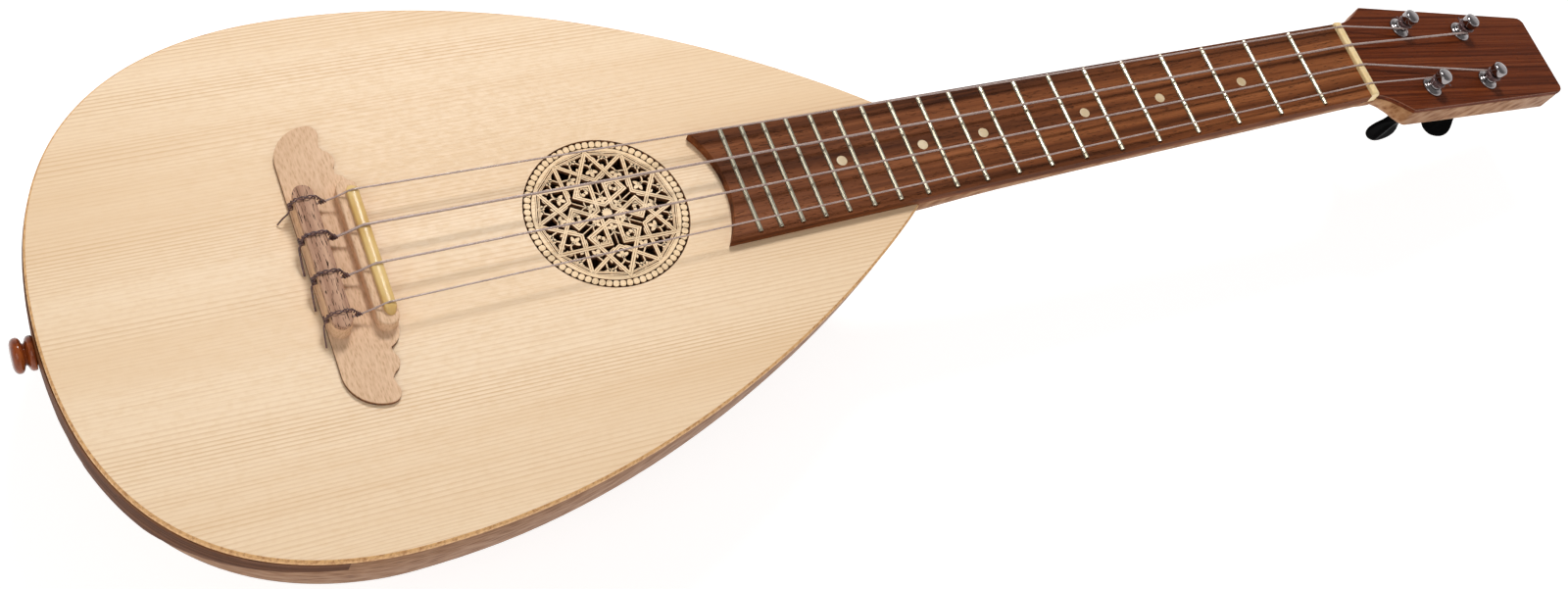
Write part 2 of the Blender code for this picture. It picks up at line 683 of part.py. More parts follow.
def make_bridge():
    """Plate, saddle block and the lower half of the tie block in one piece of wood."""
    side = bridge_side()
    outline = side + [(u, -v) for u, v in reversed(side[1:])]
    bridge = prism("bridge", outline, GAP, BRIDGE_THICK, "lacewood_light")
    tie = prism("join_tie_block", stadium(TIE_U, TIE_WIDTH / 2, TIE_HALF), BRIDGE_THICK / 2,
                TIE_TOP, "lacewood_light")
    block = prism("join_saddle_block",
                  stadium(SADDLE_BLOCK_U, SADDLE_BLOCK_WIDTH / 2, SADDLE_BLOCK_HALF),
                  BRIDGE_THICK / 2, SADDLE_BLOCK_TOP, "lacewood_light")
    bevel(block, 0.6 * MM, 2, 60)
    unite(bridge, tie)
    unite(bridge, block)
    w = SADDLE_THICK / 2 + GAP
    slot = prism("cutter_saddle_slot", [(SADDLE_U - w, -SADDLE_HALF - GAP),
                                        (SADDLE_U + w, -SADDLE_HALF - GAP),
                                        (SADDLE_U + w, SADDLE_HALF + GAP),
                                        (SADDLE_U - w, SADDLE_HALF + GAP)],
                 SADDLE_FOOT - GAP, 12 * MM, "lacewood_light")
    cut(bridge, slot)
    for name, radius, v, _ in STRINGS:
        hole = turned(f"cutter_string_{name}", [(radius + GAP, -8 * MM), (radius + GAP, 8 * MM)],
                      at(TIE_U, v, STRING_HOLE_H), Vector((1, 0, 0)), 8, "lacewood_light")
        cut(bridge, hole)


def make_tie_block_cap():
    cap = prism("tie_block_cap", stadium(TIE_U, TIE_WIDTH / 2, TIE_HALF), TIE_TOP + GAP, CAP_TOP,
                "walnut_light")
    bevel(cap, 0.7 * MM, 2, 60)


def make_saddle():
    half = SADDLE_THICK / 2
    profile = [(-half, SADDLE_FOOT), (half, SADDLE_FOOT), (half, SADDLE_TOP - 1.1 * MM),
               (0.6 * half, SADDLE_TOP - 0.3 * MM), (0.0, SADDLE_TOP),
               (-0.6 * half, SADDLE_TOP - 0.3 * MM), (-half, SADDLE_TOP - 1.1 * MM)]
    rings = []
    for v, drop in ((-SADDLE_HALF, 1.6), (-SADDLE_HALF + 1.6 * MM, 0), (SADDLE_HALF - 1.6 * MM, 0),
                    (SADDLE_HALF, 1.6)):
        rings.append([at(SADDLE_U + du, v, max(h - drop * MM, SADDLE_FOOT) if h > SADDLE_FOOT
                         else h) for du, h in profile])
    loft("saddle", rings, "bone")


# ---------------------------------------------------------------- pegs and strings

def make_peg(name, s, v, button_turn):
    """One friction peg: turning post and button, and the bushing fixed in the headstock."""
    origin = on_head(s, v, 0)
    normal = head_normal()
    bush = [(3.0, -9.0), (4.0, -9.0), (4.0, 0.35), (5.0, 0.35), (5.0, 0.9), (4.5, 1.5),
            (3.4, 1.9), (3.0, 1.9)]
    turned(f"peg_{name}_bushing", [(r * MM, d * MM) for r, d in bush], origin, normal, 16,
           "chrome", closed=True)
    cap = PEG_CAP_R / MM
    waist = PEG_WAIST_R / MM
    shaft = PEG_SHAFT_R / MM
    post = [(shaft, -HEAD_BACK / MM - 1.6), (shaft, 2.2), (waist, 2.7), (waist * 0.95, 3.6),
            (waist, 5.0), (2.7, 5.7), (cap - 0.1, 6.1), (cap, 6.6), (cap, 9.1),
            (cap - 0.5, 9.7), (cap - 1.2, PEG_TOP / MM)]
    turned(f"peg_{name}_post", [(r * MM, d * MM) for r, d in post], origin, normal, 16, "chrome")
    make_button(f"peg_{name}_button", origin, normal, math.radians(button_turn))


def make_button(name, origin, normal, turn):
    """A hub that narrows into a flat paddle, below the headstock."""
    along = Vector((math.cos(turn), math.sin(turn), 0))
    wide = (along - normal * along.dot(normal)).normalized()
    thin = normal.cross(wide)
    start = HEAD_BACK + 0.4 * MM
    hub = 3.9 * MM
    rings = []
    for part, half_wide, half_thin in ((0.0, 1.0, 1.0), (0.08, 1.0, 1.0), (0.22, 0.86, 0.84),
                                       (0.38, 0.84, 0.68), (0.50, 1.15, 0.62), (0.62, 1.60, 0.62),
                                       (0.75, 1.79, 0.60), (0.87, 1.60, 0.56), (0.95, 1.15, 0.46),
                                       (1.0, 0.60, 0.28)):
        if part == 0.0:
            half_wide = half_thin = 0.9
        depth = start + part * BUTTON_LENGTH
        ring = []
        for k in range(14):
            angle = 2 * math.pi * k / 14
            ring.append(origin - normal * depth + wide * (hub * half_wide * math.cos(angle))
                        + thin * (hub * half_thin * math.sin(angle)))
        rings.append(ring)
    button = loft(name, rings, "black_plastic", smooth=50)
    socket = turned(f"cutter_{name}", [(PEG_SHAFT_R + GAP, -HEAD_BACK - 2.2 * MM),
                                       (PEG_SHAFT_R + GAP, 0.0)], origin, normal, 16,
                    "black_plastic")
    cut(button, socket)


def make_pegs():
    for name, s, v, button_turn in PEGS:
        make_peg(name, s, v, button_turn)


def make_string(name, radius, v_saddle, v_nut, peg):
    """From behind the tie block through its hole, over saddle and nut, to the peg's side."""
    _, s_peg, v_peg, _ = peg
    inner = math.copysign(PEG_WAIST_R + radius + GAP, v_peg)
    lift = radius + 0.25 * MM
    at_peg = on_head(s_peg, v_peg - inner, PEG_WIND_H)
    route = [
        at(453.6 * MM, v_saddle, STRING_HOLE_H),
        at(443.0 * MM, v_saddle, STRING_HOLE_H),
        at(441.6 * MM, v_saddle, STRING_HOLE_H + 0.3 * MM),
        at(SADDLE_U + 2.2 * MM, v_saddle, SADDLE_TOP + lift - 0.7 * MM),
        at(SADDLE_U, v_saddle, SADDLE_TOP + lift + 0.1 * MM),
        at(SADDLE_U - 2.2 * MM, v_saddle, SADDLE_TOP + lift),
        at(-0.2 * MM, v_nut, NUT_TOP + lift),
        at(-1.8 * MM, v_nut, NUT_TOP + lift),
        at(-NUT_THICK - 0.2 * MM, v_nut, NUT_TOP + lift - 0.6 * MM),
        at_peg,
    ]
    curve = bpy.data.curves.new(f"string_{name}", "CURVE")
    curve.dimensions = "3D"
    curve.bevel_depth = radius
    curve.bevel_resolution = 2
    curve.use_fill_caps = True
    spline = curve.splines.new("POLY")
    spline.points.add(len(route) - 1)
    for point, place in zip(spline.points, route):
        point.co = (*place, 1.0)
    curve.materials.append(finish("nylon"))
    string = bpy.data.objects.new(f"string_{name}", curve)
    bpy.context.scene.collection.objects.link(string)


def make_strings():
    for (name, radius, v_saddle, v_nut), peg in zip(STRINGS, PEGS):
        make_string(name, radius, v_saddle, v_nut, peg)


clear_scene()
make_soundboard()
make_rosette()
make_ribs()
make_inner_blocks()
make_tail_clasp()
make_endpin()
make_neck()
make_veneer()
make_nut()
make_fingerboard()
make_frets()
make_bridge()
make_tie_block_cap()
make_saddle()
make_pegs()
make_strings()
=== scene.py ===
"""Looks of a lute-shaped tenor ukulele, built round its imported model.

A place on the instrument is (u, v, h): u from the nut towards the tail, v across, and h above
the soundboard, in metres.  Every new piece carries a point attribute "grain" that holds a
place along, across and through its wood, and the materials read it.
"""
import math
import random

import bmesh
import bpy
from mathutils import Matrix, Vector


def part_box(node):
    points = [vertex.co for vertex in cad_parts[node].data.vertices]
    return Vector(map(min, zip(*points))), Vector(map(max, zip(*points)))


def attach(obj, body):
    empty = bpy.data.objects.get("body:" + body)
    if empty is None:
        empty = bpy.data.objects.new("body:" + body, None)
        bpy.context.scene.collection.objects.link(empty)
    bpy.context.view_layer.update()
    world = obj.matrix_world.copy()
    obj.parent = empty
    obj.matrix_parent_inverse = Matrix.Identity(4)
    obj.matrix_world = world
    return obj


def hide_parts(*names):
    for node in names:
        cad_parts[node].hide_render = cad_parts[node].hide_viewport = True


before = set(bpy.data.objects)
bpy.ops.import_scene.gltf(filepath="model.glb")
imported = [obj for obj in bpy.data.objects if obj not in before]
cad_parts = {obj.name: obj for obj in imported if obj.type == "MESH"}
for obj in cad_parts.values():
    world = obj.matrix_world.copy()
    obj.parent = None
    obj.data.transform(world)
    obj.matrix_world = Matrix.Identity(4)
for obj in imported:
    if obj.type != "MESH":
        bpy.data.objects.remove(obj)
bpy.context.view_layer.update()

MM = 0.001
NUT_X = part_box("nut")[0].x
STRINGS_Y = (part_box("nut")[0].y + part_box("nut")[1].y) / 2
SOUNDBOARD_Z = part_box("soundboard")[1].z

# Body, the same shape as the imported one
JOINT_U = 219.4 * MM
JOINT_HALF = 24.0 * MM
WIDEST_U = 440.7 * MM
WIDEST_HALF = 106.8 * MM
TAIL_U = 543.9 * MM
NECK_HANDLE_U = 318.2 * MM
WIDE_HANDLE_U = 482.2 * MM
TAIL_HANDLE_HALF = 91.1 * MM
BODY_SKEW = 0.0122
SKEW_FROM_U = 306.0 * MM
TOP_THICK = 2.6 * MM
TOP_ROUND = 1.1 * MM
TOP_OVERHANG = 0.6 * MM
RIB_COUNT = 9
RIB_THICK = 2.4 * MM
RIB_JOINT = 0.03 * MM
RIB_SOFT = 0.26 * MM
BOWL_START = 2.75 * MM
BOWL_DEEP = 84.0 * MM
BOWL_FLAT = 82.15 * MM
BOWL_DEEP_AT_NECK = 19.0 * MM
KEEL_POWER = 2.8
TAIL_POWER = 1.2
RIB_DEPTHS = (0.0, 0.345, 0.660, 0.885, 1.0)
RIB_SIDES_WIDE = (1.0, 0.970, 0.875, 0.615, 0.225)
RIB_SIDES_NECK = (1.0, 0.995, 0.930, 0.680, 0.250)
CLASP_MIDDLE_U = 462 * MM
CLASP_SWEEP = math.radians(87.5)
CLASP_GAP = 0.12 * MM
CLASP_THICK = 0.5 * MM
CLASP_DEEP_AT_TAIL = 30 * MM
CLASP_DEEP_AT_END = 11.0 * MM
ENDPIN_DEEP = 13.1 * MM

# Rosette; radii that polar takes are in millimetres
ROSETTE_U = 340.5 * MM
ROSETTE_R = 31.05 * MM
STRAP_DEEP = 1.5 * MM
BORDERS = ((27.35, 1.25 * MM), (26.0, 1.05 * MM))
ANNULUS_R = 27.45
ANNULUS_WIDTH = 1.3 * MM
KITE_WIDTH = 1.7 * MM
VEE_WIDTH = 1.65 * MM
BEADS = 72
BEAD_RING_R = 29.5
BEAD_OUT = 1.30 * MM
BEAD_ALONG = 1.22 * MM
VINE_TOP = -0.30 * MM
STEM_WIDTH = 0.74 * MM
LEAF_LONG = 1.1 * MM
LEAF_WIDE = 1.15 * MM

# Neck, fingerboard and headstock
SCALE_LENGTH = 432 * MM
BOARD_HALF_AT_NUT = 18.8 * MM
BOARD_FLARE = 0.01705
BOARD_LOW = 0.1 * MM
BOARD_TOP = 4.3 * MM
BOARD_TIP_U = 300.3 * MM
BOARD_SCOOP = 7.0 * MM
FRETS = 19
DOT_FRETS = (3, 5, 7, 10, 12, 15)
DOT_R = 2.1 * MM
NUT_THICK = 3.9 * MM
NUT_TOP = 6.1 * MM
HEAD_TILT = math.radians(13.8)
HEAD_FACE_H = 4.8 * MM
HEAD_LENGTH = 132.65 * MM
HEAD_SHOULDER_S = 23.7 * MM
HEAD_SHOULDER_HALF = 27.2 * MM
HEAD_END_HALF = 20.7 * MM
VENEER_THICK = 2.0 * MM
HEAD_BACK = 13.3 * MM

# Bridge
BRIDGE_THICK = 1.8 * MM
BRIDGE_EVEN_TO = 30 * MM
BRIDGE_NEAR_SHARE = 0.955
TIE_U = 447.6 * MM
TIE_WIDTH = 7.4 * MM
TIE_HALF = 28.7 * MM
TIE_TOP = 8.3 * MM
CAP_TOP = 10.6 * MM
SADDLE_BLOCK_U = 431.4 * MM
SADDLE_BLOCK_WIDTH = 8.0 * MM
SADDLE_BLOCK_HALF = 29.6 * MM
SADDLE_BLOCK_TOP = 7.3 * MM
SADDLE_U = 430.2 * MM
SADDLE_HALF_THICK = 2.2 * MM
SADDLE_HALF = 26.4 * MM
SADDLE_TOP = 10.0 * MM

# name, distance along the headstock, distance across, turn of the button in degrees
PEGS = (
    ("g", 41.5 * MM, 15.7 * MM, 60.0),
    ("c", 81.9 * MM, 13.2 * MM, 100.0),
    ("e", 81.9 * MM, -13.2 * MM, 118.0),
    ("a", 41.5 * MM, -15.7 * MM, -14.0),
)
PEG_WAIST_R = 2.2 * MM
PEG_WIND_H = 3.6 * MM
BUTTON_LENGTH = 26.0 * MM
BUTTON_HUB = 3.9 * MM

# name, radius, across at the saddle, across at the nut, where its free tail ends
STRINGS = (
    ("g", 0.36 * MM, 23.1 * MM, 15.8 * MM, (457.2 * MM, 20.0 * MM, 0.6 * MM)),
    ("c", 0.50 * MM, 8.4 * MM, 6.2 * MM, (453.6 * MM, -2.0 * MM, 0.8 * MM)),
    ("e", 0.42 * MM, -7.2 * MM, -4.1 * MM, (453.6 * MM, -16.0 * MM, 0.8 * MM)),
    ("a", 0.34 * MM, -22.7 * MM, -13.6 * MM, (453.8 * MM, -30.4 * MM, 0.8 * MM)),
)
STUB_TURNS = {"g": 2.6, "c": 2.2, "e": 3.5, "a": 5.6}
# The parts that tie the string on and the coils, which take the nylon darkened by painted shade; a
# thickness is a share of the string's own
TWIST_R = 0.44 * MM
TWIST_TURNS = 4.5
TWIST_THICKNESS = 0.68
FRONT_KNOT_THICKNESS = 0.75
BACK_KNOT_THICKNESS = 0.72
TAIL_THICKNESS = 0.85
STUB_THICKNESS = 0.9
COIL_LOW = 2.55 * MM
COIL_TALL = 2.9 * MM
STUB_HIGH = 4.75 * MM


# Places and shapes

def at(u, v, h):
    return Vector((NUT_X - u, STRINGS_Y + v, SOUNDBOARD_Z + h))


def in_body(u, v, h):
    """A place on the body, whose middle line leans a little away from the strings'."""
    return at(u, v - BODY_SKEW * (u - SKEW_FROM_U), h)


def on_head(s, v, up):
    """A place on the tilted headstock: s along its face from the nut, up out of the face."""
    u = -s * math.cos(HEAD_TILT) - up * math.sin(HEAD_TILT)
    h = HEAD_FACE_H - s * math.sin(HEAD_TILT) + up * math.cos(HEAD_TILT)
    return at(u, v, h)


HEAD_NORMAL = Vector((math.sin(HEAD_TILT), 0, math.cos(HEAD_TILT)))


def mm_rows(rows):
    """Rows of millimetres, in metres."""
    return [tuple(value * MM for value in row) for row in rows]


def cubic(a, b, c, d, t):
    s = 1 - t
    return tuple(s**3 * a[i] + 3 * s * s * t * b[i] + 3 * s * t * t * c[i] + t**3 * d[i]
                 for i in range(2))


def interpolate(x, table):
    """Value at x of a list of (x, value) rows in rising order of x."""
    for (x1, y1), (x2, y2) in zip(table, table[1:]):
        if x <= x2:
            return y1 + (y2 - y1) * max(x - x1, 0) / (x2 - x1)
    return table[-1][1]


def smooth_path(points, steps):
    """A Catmull-Rom curve through the points."""
    points = [Vector(p) for p in points]
    out = []
    for i, (b, c) in enumerate(zip(points, points[1:])):
        a = points[i - 1] if i else b * 2 - c
        d = points[i + 2] if i + 2 < len(points) else c * 2 - b
        for k in range(steps):
            t = k / steps
            out.append(0.5 * (2 * b + (c - a) * t + (2 * a - 5 * b + 4 * c - d) * t * t
                              + (3 * b - a - 3 * c + d) * t**3))
    return out + [points[-1]]


def arc(cx, cy, radius, start, end, steps):
    turns = [math.radians(start + (end - start) * k / steps) for k in range(steps + 1)]
    return [(cx + radius * math.cos(turn), cy + radius * math.sin(turn)) for turn in turns]


def rounding(radius, top, turns):
    """Rows of (inset, height) for a rounded edge that ends at top."""
    turns = [math.radians(turn) for turn in turns]
    return [(radius * (1 - math.cos(turn)), top - radius + radius * math.sin(turn))
            for turn in turns]


def outline_point(t):
    """The soundboard's edge as (u, half-width): t 0 at the neck, 1 widest, 2 at the tail."""
    joint = (JOINT_U, JOINT_HALF)
    widest = (WIDEST_U, WIDEST_HALF)
    if t <= 1:
        return cubic(joint, joint, (NECK_HANDLE_U, WIDEST_HALF), widest, t)
    return cubic(widest, (WIDE_HANDLE_U, WIDEST_HALF), (TAIL_U, TAIL_HANDLE_HALF),
                 (TAIL_U, 0.0), t - 1)


def half_at(u):
    """The soundboard's half-width at u, found by halving the outline's range."""
    low, high = (0.0, 1.0) if u < WIDEST_U else (2.0, 1.0)
    for _ in range(26):
        middle = (low + high) / 2
        if abs(outline_point(middle)[0] - WIDEST_U) > abs(u - WIDEST_U):
            low = middle
        else:
            high = middle
    return outline_point(low)[1]


def tail_reach(part):
    """How far towards the tail the bowl still is at a share of its depth."""
    return (1 - part**KEEL_POWER) ** (1 / TAIL_POWER)


def neck_share(u):
    """0 at the neck's joint, 1 at the widest place."""
    return (half_at(u) - JOINT_HALF) / (WIDEST_HALF - JOINT_HALF)


def bowl_depth(u):
    if u >= WIDEST_U:
        run = min((u - WIDEST_U) / (TAIL_U - WIDEST_U), 1.0)
        deep = BOWL_DEEP * (1 - run**TAIL_POWER) ** (1 / KEEL_POWER)
    else:
        deep = BOWL_DEEP_AT_NECK + (BOWL_DEEP - BOWL_DEEP_AT_NECK) * neck_share(u)
    return min(deep, BOWL_FLAT)


def section(u):
    """The bowl's nine-sided section at u, from the +v edge under the keel to the -v edge."""
    deep = bowl_depth(u)
    side = []
    for part, wide, narrow in zip(RIB_DEPTHS, RIB_SIDES_WIDE, RIB_SIDES_NECK):
        if u < WIDEST_U:
            half = (half_at(u) - TOP_OVERHANG) * (narrow + (wide - narrow) * neck_share(u))
        elif part < 1.0:
            depth = part * deep / BOWL_DEEP
            rim_u = WIDEST_U + (u - WIDEST_U) / tail_reach(depth)
            share = interpolate(depth, list(zip(RIB_DEPTHS, RIB_SIDES_WIDE)))
            half = (half_at(rim_u) - TOP_OVERHANG) * share
        else:
            half = side[-1][0] * RIB_SIDES_WIDE[-1] / RIB_SIDES_WIDE[-2]
        side.append((half, -BOWL_START - deep * part))
    return side + [(-v, h) for v, h in reversed(side)]


def board_half(u):
    return BOARD_HALF_AT_NUT + BOARD_FLARE * u


def head_half(s):
    """Half-width of the headstock: a swelling shoulder, then straight sides that draw in."""
    if s < HEAD_SHOULDER_S:
        rise = min(max(s, 0.0) / (0.95 * HEAD_SHOULDER_S), 1.0)
        ease = rise**2.75 * (2.2 - 1.2 * rise)
        return BOARD_HALF_AT_NUT + (HEAD_SHOULDER_HALF - BOARD_HALF_AT_NUT) * ease
    fall = (s - HEAD_SHOULDER_S) / (HEAD_LENGTH - HEAD_SHOULDER_S)
    return HEAD_SHOULDER_HALF + (HEAD_END_HALF - HEAD_SHOULDER_HALF) * fall


def fret_u(number):
    return SCALE_LENGTH * (1 - 2 ** (-number / 12))


# Materials

def rgb(r, g, b):
    """A colour given as 0-255 screen values, as linear light."""
    return tuple((c / 255 / 12.92) if c <= 10 else ((c / 255 + 0.055) / 1.055) ** 2.4
                 for c in (r, g, b)) + (1.0,)


def wire(tree, node, sockets):
    """Give each named or numbered input of a node a constant, or a link from a socket."""
    for key, value in sockets.items():
        if isinstance(value, bpy.types.NodeSocket):
            tree.links.new(value, node.inputs[key])
        else:
            node.inputs[key].default_value = value
    return node


class Shade:
    """A material under construction; a pattern method returns a socket."""

    def __init__(self, name, own_grain=True, **sockets):
        self.material = bpy.data.materials.new(name)
        self.material.use_nodes = True
        self.tree = self.material.node_tree
        self.shader = self.tree.nodes["Principled BSDF"]
        wire(self.tree, self.shader, {key.replace("_", " "): value
                                      for key, value in sockets.items()})
        if own_grain:
            source = self.node("Attribute", {}, attribute_name="grain")
            self.place = source.outputs["Vector"]
        else:
            self.place = self.node("TexCoord", {}).outputs["Object"]

    def node(self, kind, sockets, **settings):
        made = self.tree.nodes.new("ShaderNode" + kind)
        for key, value in settings.items():
            setattr(made, key, value)
        return wire(self.tree, made, sockets)

    def stretched(self, scale, shift=None):
        """The place with its axes scaled, moved by shift first."""
        source = self.place
        if shift is not None:
            moved = self.node("VectorMath", {0: source, 1: shift}, operation="ADD")
            source = moved.outputs[0]
        return self.node("Mapping", {"Vector": source, "Scale": scale}).outputs["Vector"]

    def grainy(self, scale, detail=2.0, rough=0.5, distortion=0.0, shift=None):
        """Noise with its own number of cells per metre along each axis."""
        return self.node("TexNoise", {
            "Vector": self.stretched(scale, shift), "Scale": 1.0, "Detail": detail,
            "Roughness": rough, "Distortion": distortion}).outputs["Fac"]

    def cells(self, scale, shift):
        """Distance from the nearest of many scattered points."""
        return self.node("TexVoronoi", {
            "Vector": self.stretched(scale, shift), "Scale": 1.0}).outputs["Distance"]

    def math(self, operation, a, b=0.0):
        return self.node("Math", {0: a, 1: b}, operation=operation).outputs[0]

    def plus(self, a, b):
        return self.math("ADD", a, b)

    def times(self, a, b):
        return self.math("MULTIPLY", a, b)

    def span(self, value, low, high, to_low=0.0, to_high=1.0):
        """Value from low to high, spread smoothly over a new range."""
        return self.node("MapRange", {
            "Value": value, "From Min": low, "From Max": high, "To Min": to_low,
            "To Max": to_high}, interpolation_type="SMOOTHSTEP").outputs["Result"]

    def ramp(self, value, *stops):
        made = self.node("ValToRGB", {"Fac": value})
        elements = made.color_ramp.elements
        while len(elements) < len(stops):
            elements.new(0.5)
        for element, (position, colour) in zip(elements, stops):
            element.position = position
            element.color = rgb(*colour)
        return made.outputs["Color"]

    def mix(self, share, a, b):
        """Colour a turned into b by share; each is a socket or three screen values."""
        a, b = (c if isinstance(c, bpy.types.NodeSocket) else rgb(*c) for c in (a, b))
        return self.node("Mix", {0: share, 6: a, 7: b}, data_type="RGBA").outputs[2]

    def sideways(self, value, amount):
        """A vector that moves places across the grain by up to amount."""
        swing = self.times(self.math("SUBTRACT", value, 0.5), amount)
        return self.node("CombineXYZ", {"Y": swing}).outputs[0]

    def across(self, shift):
        """The place's distance across the grain."""
        moved = self.stretched((1, 1, 1), shift)
        return self.node("SeparateXYZ", {0: moved}).outputs[1]

    def finish(self, colour, roughness, height, distance, strength):
        """Give the shader its colour, its gloss and a fine relief."""
        relief = self.node("Bump", {"Height": height, "Distance": distance,
                                    "Strength": strength})
        wire(self.tree, self.shader, {"Base Color": colour, "Roughness": roughness,
                                      "Normal": relief.outputs["Normal"]})
        return self.material


def spruce(name, light, dark, line, rings_per_metre):
    """Straight-grained softwood: growth rings, broad bands, silky ray flecks."""
    s = Shade(name, Specular_IOR_Level=0.35)
    wander = s.sideways(s.grainy((1.6, 9, 3), 1.0), 0.010)
    broad = s.grainy((0.9, 26, 3), 2.0, 0.55, shift=wander)
    spacing = s.times(s.grainy((0.5, 34, 2), 1.0, shift=wander), 9.0)
    phase = s.math("FRACT", s.plus(s.times(s.across(wander), rings_per_metre), spacing))
    late = s.times(s.span(phase, 0.35, 0.86), s.span(phase, 1.0, 0.90))
    strong = s.span(s.grainy((1.1, 60, 3), 2.0, shift=wander), 0.36, 0.70, 0.18, 1.0)
    fibre = s.grainy((60, 2600, 900), 2.0, 0.6)
    silk = s.grainy((420, 700, 300), 1.0, 0.4)
    ground = s.mix(s.span(broad, 0.34, 0.68), light, dark)
    ground = s.mix(s.span(silk, 0.42, 0.75, 0.0, 0.30), ground, dark)
    lined = s.mix(s.times(late, s.times(strong, 0.64)), ground, line)
    return s.finish(s.mix(s.span(fibre, 0.45, 0.80, 0.0, 0.22), lined, line),
                    s.span(silk, 0.2, 0.8, 0.42, 0.58),
                    s.plus(s.times(late, -0.5), fibre), 0.00006, 0.5)


def lacewood(name, light, middle, dark, fleck, roughness=0.5):
    """Quarter-sawn wood with small lens-shaped flecks; fleck is cells per metre."""
    s = Shade(name, Specular_IOR_Level=0.12)
    wander = s.sideways(s.grainy((14, 20, 20), 2.0), 0.0022)
    net = s.cells((fleck * 0.24, fleck, fleck * 0.5), wander)
    fine = s.cells((fleck * 0.6, fleck * 2.3, fleck), wander)
    fibre = s.grainy((90, 2400, 1500), 3.0, 0.65)
    broad = s.grainy((7, 40, 30), 2.0, 0.5, shift=wander)
    ground = s.ramp(s.plus(s.times(net, 0.72), s.times(fine, 0.25)),
                    (0.18, dark), (0.42, middle), (0.78, light))
    ground = s.mix(s.span(broad, 0.30, 0.72, 0.0, 0.34), ground, dark)
    return s.finish(s.mix(s.span(fibre, 0.40, 0.80, 0.0, 0.42), ground, dark),
                    s.span(net, 0.1, 0.8, roughness + 0.08, roughness - 0.06),
                    s.plus(fibre, s.times(net, 0.6)), 0.00007, 0.5)


def walnut(name, light, middle, dark, streaks, roughness, wave=0.005, pores=1.0, coat=0.0):
    """Dark open-grained wood: long streaks, fibres and short pores."""
    s = Shade(name, Coat_Weight=coat, Specular_IOR_Level=0.06)
    wander = s.sideways(s.grainy((9, 30, 30), 3.0, 0.6), wave)
    streak = s.grainy((4, streaks, streaks), 3.0, 0.62, shift=wander)
    wide = s.grainy((2.2, streaks * 0.26, 30), 2.0, 0.5, shift=wander)
    fibre = s.grainy((45, 1700, 1200), 3.0, 0.7, shift=wander)
    pore = s.span(s.grainy((260, 2300, 1800), 1.0, 0.5, shift=wander),
                  0.67 - 0.04 * pores, 0.75 - 0.04 * pores)
    ground = s.ramp(s.plus(s.times(streak, 0.62), s.times(wide, 0.38)),
                    (0.34, dark), (0.50, middle), (0.66, light))
    ground = s.mix(s.span(fibre, 0.42, 0.78, 0.0, 0.50), ground, dark)
    return s.finish(s.mix(s.times(pore, 0.62 * pores), ground, [c * 0.45 for c in dark]),
                    s.span(streak, 0.3, 0.7, roughness + 0.08, roughness - 0.05),
                    s.math("SUBTRACT", fibre, s.times(pore, 1.6 * pores)), 0.00009, 0.6)


def bone(name, light, dark, roughness):
    s = Shade(name, Coat_Weight=0.1, Specular_IOR_Level=0.3, Subsurface_Weight=0.06,
              Subsurface_Radius=(0.0016, 0.0011, 0.0005))
    cloud = s.grainy((120, 60, 120), 3.0, 0.6)
    lines = s.grainy((2600, 110, 1500), 2.0, 0.6)
    ground = s.mix(s.span(cloud, 0.32, 0.72), light, dark)
    return s.finish(s.mix(s.span(lines, 0.52, 0.80, 0.0, 0.35), ground, [c * 0.84 for c in dark]),
                    s.span(cloud, 0.3, 0.7, roughness + 0.06, roughness - 0.05),
                    lines, 0.00003, 0.4)


def metal(name, colour, dull, roughness, own_grain=True):
    """Plated metal with faint smears and hairline scratches."""
    s = Shade(name, own_grain, Metallic=1.0)
    smear = s.grainy((240, 240, 240), 3.0, 0.6, 0.8)
    return s.finish(s.mix(s.span(smear, 0.42, 0.78, 0.0, 0.55), colour, dull),
                    s.span(smear, 0.3, 0.8, roughness, roughness + 0.14),
                    s.grainy((5200, 340, 5200), 2.0, 0.7), 0.00001, 0.25)


def plastic(name, black, dusty):
    s = Shade(name, Specular_IOR_Level=0.05, IOR=1.25)
    dust = s.span(s.grainy((1500, 1500, 1500), 2.0, 0.7), 0.60, 0.78)
    smear = s.grainy((160, 160, 160), 3.0, 0.6, 0.6)
    return s.finish(s.mix(s.times(dust, 0.25), black, dusty),
                    s.span(smear, 0.3, 0.75, 0.10, 0.30), smear, 0.00004, 0.2)


def clouded(name, light, dark, cells, stops, gloss, relief, own_grain=True, **sockets):
    """A plain material whose colour and gloss vary with one noise."""
    s = Shade(name, own_grain, **sockets)
    cloud = s.grainy(*cells)
    return s.finish(s.mix(s.span(cloud, *stops), light, dark), s.span(cloud, 0.3, 0.7, *gloss),
                    cloud, *relief)


def nylon(name, light, dark, clear):
    """Tinted clear string; its light passes by the share clear."""
    return clouded(name, light, dark, ((900, 900, 900), 2.0, 0.6), (0.35, 0.7), (0.16, 0.30),
                   (0.00001, 0.2), Transmission_Weight=clear)


def scorched(name, light, dark):
    """Wood edge browned by cutting, with irregular darker specks."""
    return clouded(name, light, dark, ((700, 700, 500), 3.0, 0.7), (0.40, 0.70), (0.5, 0.7),
                   (0.00005, 0.5))


def plain_wood(name, light, dark):
    """Raw wood of the pieces inside the body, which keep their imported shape."""
    return clouded(name, light, dark, ((20, 900, 900), 3.0, 0.6), (0.35, 0.7), (0.62, 0.78),
                   (0.00008, 0.5), own_grain=False)


